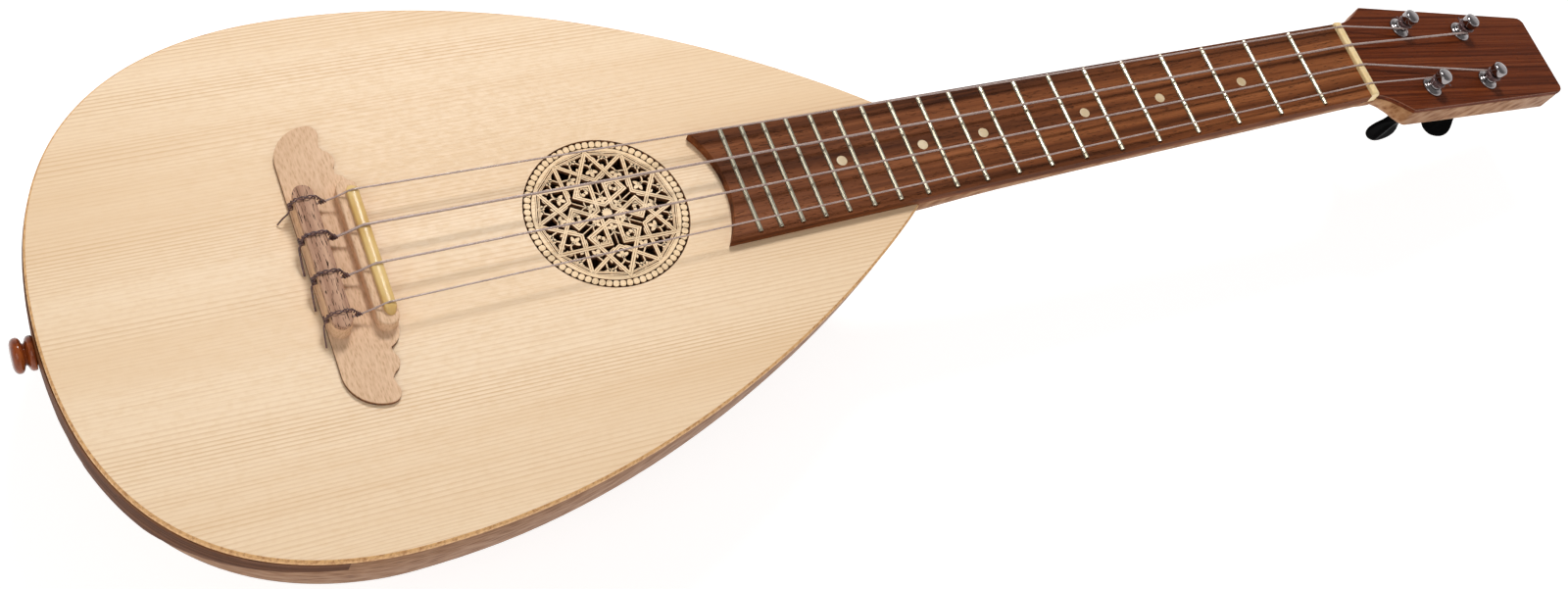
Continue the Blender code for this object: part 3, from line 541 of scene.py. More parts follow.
SPRUCE = spruce("spruce_top", (243, 216, 182), (232, 199, 159), (208, 164, 116), 640)
SPRUCE_CARVED = spruce("spruce_carved", (252, 224, 184), (240, 206, 160), (220, 178, 128), 640)
TOP_EDGE = scorched("top_edge", (222, 172, 112), (176, 122, 70))
CUT_EDGE = scorched("cut_edge", (132, 84, 48), (52, 28, 16))
CUT_LINE = scorched("cut_line", (176, 126, 80), (120, 76, 42))
RIB_EDGE = scorched("rib_joint", (74, 46, 28), (40, 24, 14))
VENEER_EDGE = scorched("veneer_edge", (132, 78, 50), (104, 56, 34))
RIBS = lacewood("rib_lacewood", (164, 120, 82), (142, 98, 62), (112, 73, 43), 560)
NECK_WOOD = lacewood("neck_lacewood", (178, 132, 90), (152, 104, 64), (118, 72, 38), 640)
BRIDGE_WOOD = lacewood("bridge_lacewood", (232, 196, 162), (220, 183, 149), (198, 158, 122), 1500)
CLASP_WOOD = walnut("clasp_walnut", (132, 82, 44), (98, 56, 26), (58, 30, 12), 240, 0.55)
BOARD_WOOD = walnut("board_walnut", (160, 98, 58), (118, 66, 36), (56, 27, 14), 170, 0.5)
VENEER_WOOD = walnut("veneer_walnut", (128, 64, 30), (100, 44, 18), (46, 17, 6), 760, 0.6,
                     wave=0.0012, pores=0.8)
CAP_WOOD = walnut("cap_walnut", (208, 168, 140), (178, 138, 114), (110, 72, 52), 300, 0.6,
                  wave=0.002, pores=1.9)
PIN_WOOD = walnut("pin_wood", (174, 92, 42), (138, 64, 26), (70, 27, 9), 260, 0.22,
                  wave=0.004, pores=0.5, coat=0.6)
NUT_BONE = bone("nut_bone", (240, 214, 164), (226, 194, 136), 0.36)
SADDLE_BONE = bone("saddle_bone", (222, 188, 122), (204, 162, 92), 0.34)
DOT_PEARL = bone("dot_bone", (220, 200, 166), (196, 172, 134), 0.4)
NICKEL = metal("fret_nickel", (178, 172, 152), (120, 112, 90), 0.30, own_grain=False)
CHROME = metal("peg_chrome", (154, 148, 148), (96, 90, 92), 0.07)
BLACK = plastic("button_black", (4, 4, 4), (44, 40, 40))
NYLON = nylon("string_nylon", (212, 190, 180), (178, 154, 148), 0.35)
# Nylon darkened with painted shade, standing in for the contact shadow among the knots, tie loop,
# tail and coils
NYLON_PAINTED_SHADE = nylon("nylon_painted_shade", (122, 90, 86), (72, 48, 52), 0.15)
INNER = plain_wood("inner_wood", (206, 164, 118), (168, 122, 82))


# Mesh helpers

def new_bmesh():
    bm = bmesh.new()
    bm.verts.layers.float_vector.new("grain")
    return bm


def add_vert(bm, place, grain):
    vert = bm.verts.new(place)
    vert[bm.verts.layers.float_vector["grain"]] = grain
    return vert


def paint(faces, material):
    for face in faces:
        face.material_index = material


def skin(bm, rows, material=0):
    """Quads between neighbouring rows of verts; each row closes on itself."""
    faces = []
    for low, high in zip(rows, rows[1:]):
        quads = zip(low, low[1:] + low[:1], high[1:] + high[:1], high)
        faces += [bm.faces.new(quad) for quad in quads]
    paint(faces, material)
    return faces


def add_loft(bm, rings, grains=None, closed=False):
    """Skin rings of equal count into bm; grains holds a vector for each point."""
    rows = [[add_vert(bm, place, grain) for place, grain in zip(*pair)]
            for pair in zip(rings, grains or rings)]
    if closed:
        return skin(bm, rows + rows[:1])
    return skin(bm, rows) + [bm.faces.new(rows[0]), bm.faces.new(rows[-1])]


def put(name, data):
    thing = bpy.data.objects.new(name, data)
    bpy.context.scene.collection.objects.link(thing)
    return thing


def hang(name, mesh, body, replaces=()):
    """Put a mesh in the scene as a piece that rides on a body."""
    thing = put(name, mesh)
    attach(thing, body)
    if replaces:
        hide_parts(*replaces)
    return thing


def add_piece(name, bm, materials, slot, replaces=(), body="root", smooth=40):
    bmesh.ops.recalc_face_normals(bm, faces=bm.faces)
    mesh = bpy.data.meshes.new(name)
    bm.to_mesh(mesh)
    bm.free()
    for material in materials:
        mesh.materials.append(material)
    mesh.shade_smooth()
    mesh.set_sharp_from_angle(angle=math.radians(smooth))
    return hang(name, mesh, body, replaces)


def add_lofted(name, rings, grains, materials, slot, replaces, **settings):
    """A piece that is one loft."""
    bm = new_bmesh()
    add_loft(bm, rings, grains)
    return add_piece(name, bm, materials, slot, replaces, **settings)


def repaint(node, material):
    """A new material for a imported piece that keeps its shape."""
    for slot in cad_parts[node].material_slots:
        slot.material = material


def add_turned(bm, profile, origin, axis, segments, closed=False):
    """Turn (radius, distance) points about an axis."""
    side = axis.orthogonal().normalized()
    other = axis.cross(side)
    turns = [2 * math.pi * k / segments for k in range(segments)]
    rings = []
    grains = []
    for radius, along in profile:
        flat = [(radius * math.cos(turn), radius * math.sin(turn)) for turn in turns]
        rings.append([origin + axis * along + side * x + other * y for x, y in flat])
        grains.append([(x + origin.x, y + origin.y, along) for x, y in flat])
    return add_loft(bm, rings, grains, closed)


def inward(outline, inset):
    """The outline moved inwards by inset, vertex by vertex."""
    if not inset:
        return outline
    ahead = outline[1:] + outline[:1]
    area = sum(a[0] * b[1] - b[0] * a[1] for a, b in zip(outline, ahead))
    side = 1.0 if area > 0 else -1.0
    out = []
    for a, b, c in zip(outline[-1:] + outline[:-1], outline, ahead):
        n1 = Vector((-(b[1] - a[1]), b[0] - a[0])).normalized() * side
        n2 = Vector((-(c[1] - b[1]), c[0] - b[0])).normalized() * side
        bend = n1 + n2
        bend = bend / max(bend.dot(n1), 0.6) if bend.length > 1e-9 else n1
        out.append((b[0] + bend.x * inset, b[1] + bend.y * inset))
    return out


def flat_prism(name, outline, low, high, materials, slot, replaces=(), round_edge=0.0,
               grain_axes=(1, 0), edge_material=0):
    """A plate or block from an outline of (u, v); its grain runs along the first axis given."""
    levels = [(0.0, low), (0.0, high - round_edge)]
    if round_edge:
        levels += rounding(round_edge, high, (30, 60, 90))
    rings = [[at(u, v, h) for u, v in inward(outline, inset)] for inset, h in levels]
    along, across = grain_axes
    grains = [[(p[along], p[across], p.z) for p in ring] for ring in rings]
    bm = new_bmesh()
    paint(add_loft(bm, rings, grains)[:len(outline)], edge_material)
    add_piece(name, bm, materials, slot, replaces, smooth=32)


# Body

def make_soundboard():
    """Flat top with a rounded golden edge and the round hole for the rosette."""
    steps = 150
    half = [outline_point(0.012 + 1.988 * k / steps) for k in range(steps + 1)]
    half = [(max(u, JOINT_U + 0.15 * MM), v) for u, v in half]
    outline = half + [(u, -v) for u, v in reversed(half[:-1])]
    levels = [(0.0, -TOP_THICK), (0.0, -1.3 * TOP_ROUND)]
    levels += rounding(TOP_ROUND, 0.0, (0, 25, 50, 70, 90))
    flares = ((0.25 * MM, 0.0), (0.0, -0.35 * MM), (0.0, -TOP_THICK))
    rims = [[in_body(u, v, h) for u, v in inward(outline, inset)] for inset, h in levels]
    holes = [[at(u, v, h) for u, v in arc(ROSETTE_U, 0, ROSETTE_R + flare, 0, 357.5, 143)]
             for flare, h in flares]
    bm = new_bmesh()
    rim, hole = ([[add_vert(bm, p, p) for p in ring] for ring in rings]
                 for rings in (rims, holes))
    skin(bm, rim[:-1], 1)
    skin(bm, rim[-2:], 0)
    skin(bm, hole, 2)
    for loops in ((rim[-1], hole[0]), (rim[0], hole[-1])):
        edges = [bm.edges.get(pair) for row in loops for pair in zip(row, row[1:] + row[:1])]
        bmesh.ops.triangle_fill(bm, use_beauty=True, use_dissolve=False, edges=edges)
    add_piece("soundboard_top", bm, [SPRUCE, TOP_EDGE, CUT_EDGE], "spruce_top", ["soundboard"],
              smooth=50)


def polar(radius, degrees):
    """A flat place on the rosette: radius in mm, degrees from the neck's side."""
    turn = math.radians(degrees)
    return Vector((radius * MM * math.cos(turn), radius * MM * math.sin(turn)))


def on_rosette(p, h):
    return at(ROSETTE_U - p.x, p.y, h)


def add_strip(bm, path, width, top, closed=False, grooved=False):
    """A carved strap along a flat path: browned sides, and a groove down its middle."""
    half = width / 2
    edge = 0.13 * MM
    groove = 0.10 * MM
    profile = [(-half, top - STRAP_DEEP, 1), (-half, top - 0.14 * MM, 1), (-half + edge, top, 0)]
    if grooved:
        profile += [(-groove, top, 2), (0.0, top - 0.26 * MM, 2), (groove, top, 0)]
    profile += [(half - edge, top, 1), (half, top - 0.14 * MM, 1), (half, top - STRAP_DEEP, 1)]
    legs = [(b - a).normalized() for a, b in zip(path, path[1:] + path[:1])]
    rings = []
    for i, p in enumerate(path):
        d1 = legs[i - 1] if i or closed else legs[0]
        d2 = legs[i] if i + 1 < len(path) or closed else d1
        normal = Vector((-(d1.y + d2.y), d1.x + d2.x))
        normal = normal / max(normal.length, 1e-9)
        normal = normal / max(normal.dot(Vector((-d1.y, d1.x))), 0.35)
        rings.append([on_rosette(p + normal * across, h) for across, h, _ in profile])
    for i, face in enumerate(add_loft(bm, rings, closed=closed)):
        face.material_index = profile[i % len(profile)][2]


def add_leaf(bm, centre, heading, long, wide, top, count=12):
    """A small leaf-shaped plate round a flat place, pointing along heading in degrees."""
    heading = math.radians(heading)
    along = Vector((math.cos(heading), math.sin(heading)))
    across = Vector((-along.y, along.x))
    turns = [2 * math.pi * k / count for k in range(count)]
    rings = []
    for inset, h in ((0.0, top - STRAP_DEEP), (0.0, top - 0.15 * MM), (0.10 * MM, top)):
        rings.append([on_rosette(
            centre + along * ((long - inset) * math.cos(turn))
            + across * ((wide - inset) * (1 - 0.25 * math.cos(turn)) * math.sin(turn)), h)
            for turn in turns])
    paint(add_loft(bm, rings)[:2 * count], 1)


def add_bead(bm, degrees):
    """One bead of the ring, a rounded lozenge, with a chip on either side of it."""
    centre = polar(BEAD_RING_R, degrees)
    out = centre.normalized() * BEAD_OUT
    along = Vector((-out.y, out.x)).normalized() * BEAD_ALONG
    half = ((1.0, 0.15), (0.86, 0.62), (0.35, 0.98), (-0.15, 1.0), (-0.62, 0.95), (-0.98, 0.45))
    shape = half + tuple((-x, -y) for x, y in half)
    rings = [[on_rosette(centre + (out * x + along * y) * scale, h * MM) for x, y in shape]
             for scale, h in ((1.0, -1.6), (1.0, -0.35), (0.93, -0.08), (0.60, 0.0))]
    paint(add_loft(bm, rings)[:len(shape)], 1)
    for away in (-2.5, 2.5):
        add_leaf(bm, polar(BEAD_RING_R, degrees + away), degrees + away + 90, 0.55 * MM,
                 0.42 * MM, -0.1 * MM, count=6)


# A stem's share of STEM_WIDTH, and its (radius, degrees) from a kite's middle line
STEMS = (
    (1.0, ((18.6, 0), (20.4, 0.8), (21.4, 4.0), (21.9, 8.0), (23.2, 11.5), (24.6, 13.8))),
    (1.0, ((24.4, 16.0), (23.0, 18.6), (21.2, 20.0), (20.2, 23.6), (19.4, 27.6), (18.4, 30.0))),
    (0.8, ((21.8, 8.0), (23.4, 7.2), (24.2, 4.6), (23.4, 2.6))),
    (0.8, ((7.0, 0), (8.6, 5.0), (9.6, 13.0), (11.2, 20.0), (12.6, 24.0))),
    (0.9, ((14.6, 8.0), (15.6, 13.0), (17.4, 17.0), (19.6, 19.0), (21.2, 20.0))),
)
# Leaves as radius, degrees, half-length, half-width and heading from outwards
STEM_LEAVES = (
    (24.9, 15.0, 1.15, 0.85, 0), (23.9, 12.7, 1.0, 0.66, -60), (24.1, 17.6, 1.0, 0.66, 60),
    (23.3, 3.0, 0.75, 0.6, 30), (25.0, 20.6, 0.9, 0.55, 70), (22.3, 24.4, 0.85, 0.55, 20),
    (12.4, 22.0, 1.1, 0.8, 20), (11.0, 27.0, 0.9, 0.66, 80), (13.6, 26.5, 0.8, 0.6, -40),
    (20.3, 14.2, 0.8, 0.5, -20),
)
FLOWER = ((16.7, 0, 1.15, 0.72, 180), (17.9, -4.2, 1.1, 0.68, -110),
          (17.9, 4.2, 1.1, 0.68, 110), (18.6, 0, 0.8, 0.7, 0))
INNER_FLOWER = ((4.9, 0, 1.1, 0.62, 180), (6.2, -11, 1.0, 0.62, -90),
                (6.2, 11, 1.0, 0.62, 90), (7.3, 0, 1.1, 0.7, 0))


def add_leaves(bm, turn, leaves, side=1):
    for radius, away, long, wide, heading in leaves:
        bearing = turn + side * away
        add_leaf(bm, polar(radius, bearing), bearing + side * heading, long * LEAF_LONG,
                 wide * LEAF_WIDE, VINE_TOP)


def add_vines(bm, turn):
    """One sixth of the vines: stems between leaves, and three-lobed flowers."""
    for side in (-1, 1):
        for share, stops in STEMS:
            path = [polar(radius, turn + side * away) for radius, away in stops]
            add_strip(bm, smooth_path(path, 4), STEM_WIDTH * share, VINE_TOP)
        add_leaves(bm, turn, STEM_LEAVES, side)
    add_leaves(bm, turn, FLOWER)
    add_leaves(bm, turn + 30, FLOWER)
    stalk = [polar(radius, turn) for radius in (8.2, 10.0, 11.6, 13.2)]
    add_strip(bm, stalk, STEM_WIDTH * 0.8, VINE_TOP)
    add_leaves(bm, turn, INNER_FLOWER)


def make_rosette():
    """Interlaced straps and vines cut through a thin spruce disc, in a ring of beads."""
    bm = new_bmesh()
    for radius, width in BORDERS:
        corners = [polar(radius, 30 * k) for k in range(12)]
        add_strip(bm, corners, width, -0.12 * MM, closed=True, grooved=True)
    annulus = [polar(ANNULUS_R, 2.5 * k) for k in range(144)]
    add_strip(bm, annulus, ANNULUS_WIDTH, -0.14 * MM, closed=True)
    for k in range(BEADS):
        add_bead(bm, 360 * (k + 0.5) / BEADS)
    for k in range(6):
        turn = 90 + 60 * k
        kite = [(26.4, turn), (13.05, turn - 48), (3.35, turn), (13.05, turn + 48)]
        vee = [(26.9, turn - 30), (14.2, turn), (26.9, turn + 30)]
        add_strip(bm, [polar(*p) for p in kite], KITE_WIDTH, (-0.05 - 0.02 * (k % 3)) * MM,
                  closed=True, grooved=True)
        add_strip(bm, [polar(*p) for p in vee], VEE_WIDTH, -0.16 * MM, grooved=True)
        add_vines(bm, turn)
    star = [polar(2.15 if k % 2 else 1.65, 15 * k) for k in range(24)]
    rings = [[on_rosette(p, h) for p in star] for h in (-1.6 * MM, -0.1 * MM)]
    paint(add_loft(bm, rings)[:len(star)], 1)
    add_piece("rosette_carving", bm, [SPRUCE_CARVED, CUT_EDGE, CUT_LINE], "rosette_spruce",
              ["rosette"], smooth=30)


def stave_section(points, index):
    """One stave of a bowl section as (v, h) corners, its long edges softened, and its width."""
    points = [Vector(p) for p in points]
    along = [(b - a).normalized() for a, b in zip(points, points[1:])]
    normals = [Vector((d.y, -d.x)) for d in along]
    width = (points[index + 1] - points[index]).length
    soft = min(RIB_SOFT, width * 0.2)
    normal = normals[index]
    ends = []
    for point, neighbour, inwards in ((points[index], index - 1, along[index]),
                                      (points[index + 1], index + 1, -along[index])):
        other = normals[neighbour] if 0 <= neighbour < RIB_COUNT else normal
        mitre = (normal + other) / (1 + normal.dot(other))
        corner = point + inwards * RIB_JOINT
        ends.append([corner + mitre * RIB_THICK, corner + mitre * (soft * 0.8),
                     corner + inwards * (soft * 0.35) + normal * (soft * 0.25),
                     corner + inwards * soft])
    first, second = ends
    return first[1:] + second[:0:-1] + [second[0], first[0]], width


def make_ribs():
    """Nine bent staves; each has softened long edges, so that a fine joint shows."""
    steps = 44
    turns = [0.02 + 0.98 * k / steps for k in range(steps)]
    turns += [1 + 0.985 * k / steps for k in range(steps + 1)]
    stations = [outline_point(t)[0] for t in turns]
    sections = [section(u) for u in stations]
    for index in range(RIB_COUNT):
        rings = []
        grains = []
        run = index * 0.37
        for u, points in zip(stations, sections):
            corners, width = stave_section(points, index)
            ring = [in_body(u, v, h) for v, h in corners]
            if rings:
                run += (ring[2] + ring[3] - rings[-1][2] - rings[-1][3]).length / 2
            rings.append(ring)
            across = (0.0, 0.1 * MM, 0.3 * MM, width - 0.3 * MM, width - 0.1 * MM, width, width,
                      0.0)
            grains.append([(run, a - width / 2 + index * 0.11, 0.01 * index) for a in across])
        bm = new_bmesh()
        faces = add_loft(bm, rings, grains)[:-2]
        for side in (0, 1, 3, 4):
            paint(faces[side::len(rings[0])], 1)
        add_piece(f"rib_stave_{index + 1}", bm, [RIBS, RIB_EDGE], "lacewood_ribs",
                  [f"rib_{index + 1}"], smooth=28)


def bowl_surface_depth(u, v):
    points = section(u)
    v = abs(v)
    for (v1, h1), (v2, h2) in zip(points[:4], points[1:5]):
        if v2 <= v <= v1:
            return -(h1 + (h2 - h1) * (v1 - v) / max(v1 - v2, 0.001 * MM))
    return -points[4][1] if v < points[4][0] else 0.0


def bowl_radius(turn, deep):
    """Distance from the body's middle to the bowl's face at this depth, along one bearing."""
    low, high = 20 * MM, 130 * MM
    for _ in range(18):
        middle = (low + high) / 2
        u = CLASP_MIDDLE_U + middle * math.cos(turn)
        if u < TAIL_U and bowl_surface_depth(u, middle * math.sin(turn)) > deep:
            low = middle
        else:
            high = middle
    return low


def make_tail_clasp():
    """The dark strip that caps the rib ends round the tail, deepest in the middle."""
    rings = []
    grains = []
    steps = 96
    top = BOWL_START + 0.05 * MM
    shares = (0.0, 0.04, 0.2, 0.4, 0.6, 0.8, 0.96, 1.0)
    lifts = [CLASP_THICK if 0.0 < share < 1.0 else CLASP_THICK - 0.25 * MM for share in shares]
    for k in range(steps + 1):
        turn = CLASP_SWEEP * (2 * k / steps - 1)
        fade = 0.5 + 0.5 * math.cos(math.pi * abs(turn) / CLASP_SWEEP)
        deep = CLASP_DEEP_AT_END + (CLASP_DEEP_AT_TAIL - CLASP_DEEP_AT_END) * fade**0.8
        depths = [top + (deep - top) * share for share in shares]
        back = [(bowl_radius(turn, d) + CLASP_GAP, d) for d in depths]
        face = [(r + lift, d) for (r, d), lift in zip(back, lifts)]
        ring = face + back[::-1]
        rings.append([in_body(CLASP_MIDDLE_U + r * math.cos(turn), r * math.sin(turn), -d)
                      for r, d in ring])
        widest = face[0][0] - 0.01 * MM
        grains.append([(turn * 92 * MM, d, 0.002 if r > widest else 0.0) for r, d in ring])
    add_lofted("tail_cap_strip", rings, grains, [CLASP_WOOD], "clasp_walnut", ["tail_clasp"],
               smooth=28)


def make_endpin():
    """A turned and polished knob with a waist and a bell at its foot."""
    foot_u = CLASP_MIDDLE_U + bowl_radius(0.0, ENDPIN_DEEP - 6 * MM) + CLASP_GAP + CLASP_THICK
    origin = in_body(foot_u, 0, -ENDPIN_DEEP)
    length = origin.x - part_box("endpin")[0].x
    shape = ((5.9, 0.0), (6.1, 0.09), (5.95, 0.20), (5.3, 0.29), (4.3, 0.35), (3.75, 0.40),
             (4.1, 0.45), (5.3, 0.51), (6.05, 0.60), (6.2, 0.71), (5.95, 0.83), (5.1, 0.93),
             (3.6, 0.985), (1.2, 1.0))
    knob = [(5.0 * MM, -0.2 * MM)] + [(r * MM, share * length) for r, share in shape]
    shank = mm_rows(((2.9, -24), (2.9, -0.6)))
    bm = new_bmesh()
    add_turned(bm, shank + smooth_path(knob, 4), origin, Vector((-1, 0, 0)), 64)
    add_piece("endpin_knob", bm, [PIN_WOOD], "turned_endpin", ["endpin"], smooth=50)


# Neck and headstock

def dee(half, top, bottom, power, count=48):
    """A neck section as (v, up): flat on top, a superellipse below."""
    points = []
    for k in range(count + 1):
        turn = math.pi * k / count
        v = half * math.copysign(abs(math.cos(turn)) ** (2 / power), math.cos(turn))
        up = top - (top - bottom) * math.sin(turn) ** (2 / power) if 0 < k < count else top
        points.append((v, up))
    return points


def make_neck():
    """Neck and headstock in one piece, lofted from the body's joint to the head's end."""
    bottoms = mm_rows(((16, -11.9), (40, -12.0), (90, -12.6), (150, -13.4), (182, -15.2),
                       (200, -18.0), (212, -21.0)))
    bottoms.append((JOINT_U, -(BOWL_START + BOWL_DEEP_AT_NECK)))
    rings = []
    steps = 40
    for k in range(steps + 1):
        u = (JOINT_U - 0.05 * MM) * (1 - k / steps) + 4 * MM * k / steps
        half = min(board_half(u) - 0.15 * MM, JOINT_HALF)
        rings.append([at(u, v, h) for v, h in dee(half, 0.05 * MM, interpolate(u, bottoms), 2.25)])
    half = BOARD_HALF_AT_NUT - 0.1 * MM
    for u, bottom in ((0.0, -12.1 * MM), (-NUT_THICK + 0.05 * MM, -12.6 * MM)):
        rings.append([at(u, v, h) for v, h in dee(half, 0.05 * MM, bottom, 2.45)])
    powers = [(s * MM, power) for s, power in (
        (0, 2.4), (4, 2.5), (9, 2.7), (14, 3.0), (18.5, 3.8), (22.6, 5.5), (25.2, 9.0), (28, 18.0))]
    backs = [(0, 12.3 * MM), (4 * MM, 12.9 * MM), (9 * MM, HEAD_BACK)]
    chamfer_s = 129.4 * MM
    stations = [4.25 * MM + 24 * MM * k / 26 for k in range(27)]
    stations += [40 * MM, 70 * MM, 100 * MM, chamfer_s, 131.6 * MM, HEAD_LENGTH]
    for s in stations:
        half = head_half(s) - 0.55 * max(s - chamfer_s, 0.0)
        profile = dee(half, -VENEER_THICK - 0.05 * MM, -interpolate(s, backs),
                      interpolate(s, powers))
        rings.append([on_head(s, v, up) for v, up in profile])
    grains = [[(p.x * 0.92 + p.z * 0.39, p.y, p.z * 0.92 - p.x * 0.39) for p in ring]
              for ring in rings]
    neck = add_lofted("neck_and_head", rings, grains, [NECK_WOOD], "lacewood_neck", ["neck"],
                      smooth=34)
    bevel = neck.modifiers.new("bevel", "BEVEL")
    bevel.width = 0.35 * MM
    bevel.segments = 2
    bevel.limit_method = "ANGLE"
    bevel.angle_limit = math.radians(50)
    bevel.harden_normals = False


def make_veneer():
    """The headstock's dark face, with a thin lighter line along its upper edges."""
    stations = [4.15 * MM + 21 * MM * k / 24 for k in range(25)]
    stations += [50 * MM, 80 * MM, 110 * MM, 128.6 * MM]
    side = [(s, head_half(s)) for s in stations]
    side += [(s, HEAD_END_HALF - cut) for s, cut in (
        (130.4 * MM, 0.1 * MM), (131.7 * MM, 0.9 * MM), (HEAD_LENGTH, 2.4 * MM))]
    edge = 0.3 * MM
    grains = [[(s, -half, -VENEER_THICK), (s, -half, -edge), (s, -half + edge, 0.0),
               (s, half - edge, 0.0), (s, half, -edge), (s, half, -VENEER_THICK)]
              for s, half in side]
    bm = new_bmesh()
    faces = add_loft(bm, [[on_head(*p) for p in ring] for ring in grains], grains)[:-2]
    for strip in (1, 3):
        paint(faces[strip::6], 1)
    add_piece("head_veneer", bm, [VENEER_WOOD, VENEER_EDGE], "walnut_veneer",
              ["headstock_veneer"], smooth=25)


def make_nut():
    """Bone nut with a sloping face to the headstock and four shallow string notches."""
    half = BOARD_HALF_AT_NUT - 0.05 * MM
    end_round = 1.1 * MM
    rows = 120
    rings = []
    for k in range(rows + 1):
        v = -half + 2 * half * k / rows
        notch = 0.0
        for _, radius, _, v_nut, _ in STRINGS:
            away = abs(v - v_nut) / (radius * 1.5)
            notch = max(notch, 0.35 * MM * max(1 - away * away, 0.0))
        ends = min(half - abs(v), end_round) / end_round
        top = NUT_TOP - 0.7 * MM * (1 - math.sqrt(max(1 - (1 - ends) ** 2, 0.0)))
        profile = [(-0.02 * MM, 0.05 * MM), (-NUT_THICK, 0.05 * MM), (-NUT_THICK, top - 1.6 * MM),
                   (-NUT_THICK + 0.25 * MM, top - 1.0 * MM),
                   (-NUT_THICK + 0.8 * MM, top - 0.45 * MM)]
        profile += [(u * MM, top - down * MM - notch)
                    for u, down in ((-2.2, 0.08), (-1.4, 0.0), (-0.5, 0.0), (-0.15, 0.25))]
        profile.append((-0.02 * MM, top - 0.7 * MM))
        rings.append([at(u, v, h) for u, h in profile])
    add_lofted("nut_bone_bar", rings, None, [NUT_BONE], "bone_nut", ["nut"])


def make_fingerboard():
    """A flat plank with a hollow end over the body, and its position dots."""
    tip_half = board_half(BOARD_TIP_U)
    radius = (tip_half**2 + BOARD_SCOOP**2) / (2 * BOARD_SCOOP)
    spread = math.degrees(math.asin(tip_half / radius))
    hollow = arc(BOARD_TIP_U - BOARD_SCOOP + radius, 0, radius, 180 - spread, 180 + spread, 40)
    outline = [(0.02 * MM, -board_half(0)), (0.02 * MM, board_half(0)), *hollow]
    flat_prism("fingerboard_plank", outline, BOARD_LOW, BOARD_TOP, [BOARD_WOOD], "walnut_board",
               ["fingerboard"], round_edge=0.25 * MM, grain_axes=(0, 1))
    profile = [(DOT_R * share, h * MM) for share, h in (
        (0.3, -0.8), (1.0, -0.8), (1.0, 0.03), (0.9, 0.07), (0.3, 0.08))]
    for number, fret in enumerate(DOT_FRETS, start=1):
        middle = at((fret_u(fret) + fret_u(fret - 1)) / 2, 0, BOARD_TOP)
        bm = new_bmesh()
        add_turned(bm, profile, middle, Vector((0, 0, 1)), 32)
        add_piece(f"marker_{number}", bm, [DOT_PEARL], "bone_nut")


# Bridge

def bridge_side():
    """Half of the bridge plate's outline, from the middle of its back to its front."""
    side = mm_rows(((452.0, 0.0), (452.0, 20)))
    side += arc(438 * MM, 43 * MM, 14 * MM, 0, 88, 20)
    side += arc(438 * MM, 53 * MM, 4 * MM, 95, 205, 14)
    side += mm_rows(((435.2, 47.6),))
    side += arc(436.2 * MM, 41.2 * MM, 5.0 * MM, 118, 222, 10)
    return side + mm_rows(((432.6, 35.6), (431.6, 35.1), (430.4, 34.2), (429.2, 32.8),
                           (428.2, 30.4), (427.4, 27.0)))


def stadium(u, half_width, half_length, steps=14):
    end = half_length - half_width
    return (arc(u, end, half_width, 0, 180, steps)
            + arc(u, -end, half_width, 180, 360, steps))


def make_bridge():
    """A winged plate with two blocks on it; its near wing is a little shorter."""
    side = bridge_side()
    near = [(u, max(v - BRIDGE_EVEN_TO, 0.0) * BRIDGE_NEAR_SHARE + min(v, BRIDGE_EVEN_TO))
            for u, v in side]
    outline = side + [(u, -v) for u, v in near[:0:-1]]
    flat_prism("bridge_plate", outline, 0.05 * MM, BRIDGE_THICK, [BRIDGE_WOOD, CUT_EDGE],
               "lacewood_bridge", ["bridge"], round_edge=0.3 * MM, edge_material=1)
    tie = stadium(TIE_U, TIE_WIDTH / 2, TIE_HALF)
    foot = BRIDGE_THICK - 0.2 * MM
    flat_prism("tie_block", tie, foot, TIE_TOP, [BRIDGE_WOOD], "lacewood_bridge")
    flat_prism("tie_cap", tie, TIE_TOP + 0.03 * MM, CAP_TOP, [CAP_WOOD], "walnut_cap",
               ["tie_block_cap"], round_edge=0.6 * MM)
    block = stadium(SADDLE_BLOCK_U, SADDLE_BLOCK_WIDTH / 2, SADDLE_BLOCK_HALF)
    flat_prism("saddle_block", block, foot, SADDLE_BLOCK_TOP, [BRIDGE_WOOD], "lacewood_bridge",
               round_edge=0.8 * MM)


def make_saddle():
    """Bone saddle, crowned along its top and pointed at both ends."""
    rings = []
    rows = 80
    for k in range(rows + 1):
        v = -SADDLE_HALF + 2 * SADDLE_HALF * k / rows
        near_end = max(min((SADDLE_HALF - abs(v)) / (2.6 * MM), 1.0), 0.0)
        half = SADDLE_HALF_THICK * (0.25 + 0.75 * math.sqrt(near_end))
        top = SADDLE_TOP - 2.2 * MM * (1 - near_end) ** 1.5
        profile = [(-half, 5.5 * MM), (half, 5.5 * MM)]
        profile += [(half * share, top - down * MM) for share, down in (
            (1.0, 0.7), (0.94, 0.3), (0.74, 0.06), (0.0, 0.0), (-0.55, 0.06), (-0.94, 0.6),
            (-1.0, 1.1))]
        rings.append([at(SADDLE_U + du, v, h) for du, h in profile])
    add_lofted("saddle_bar", rings, None, [SADDLE_BONE], "bone_saddle", ["saddle"], smooth=60)


# Pegs

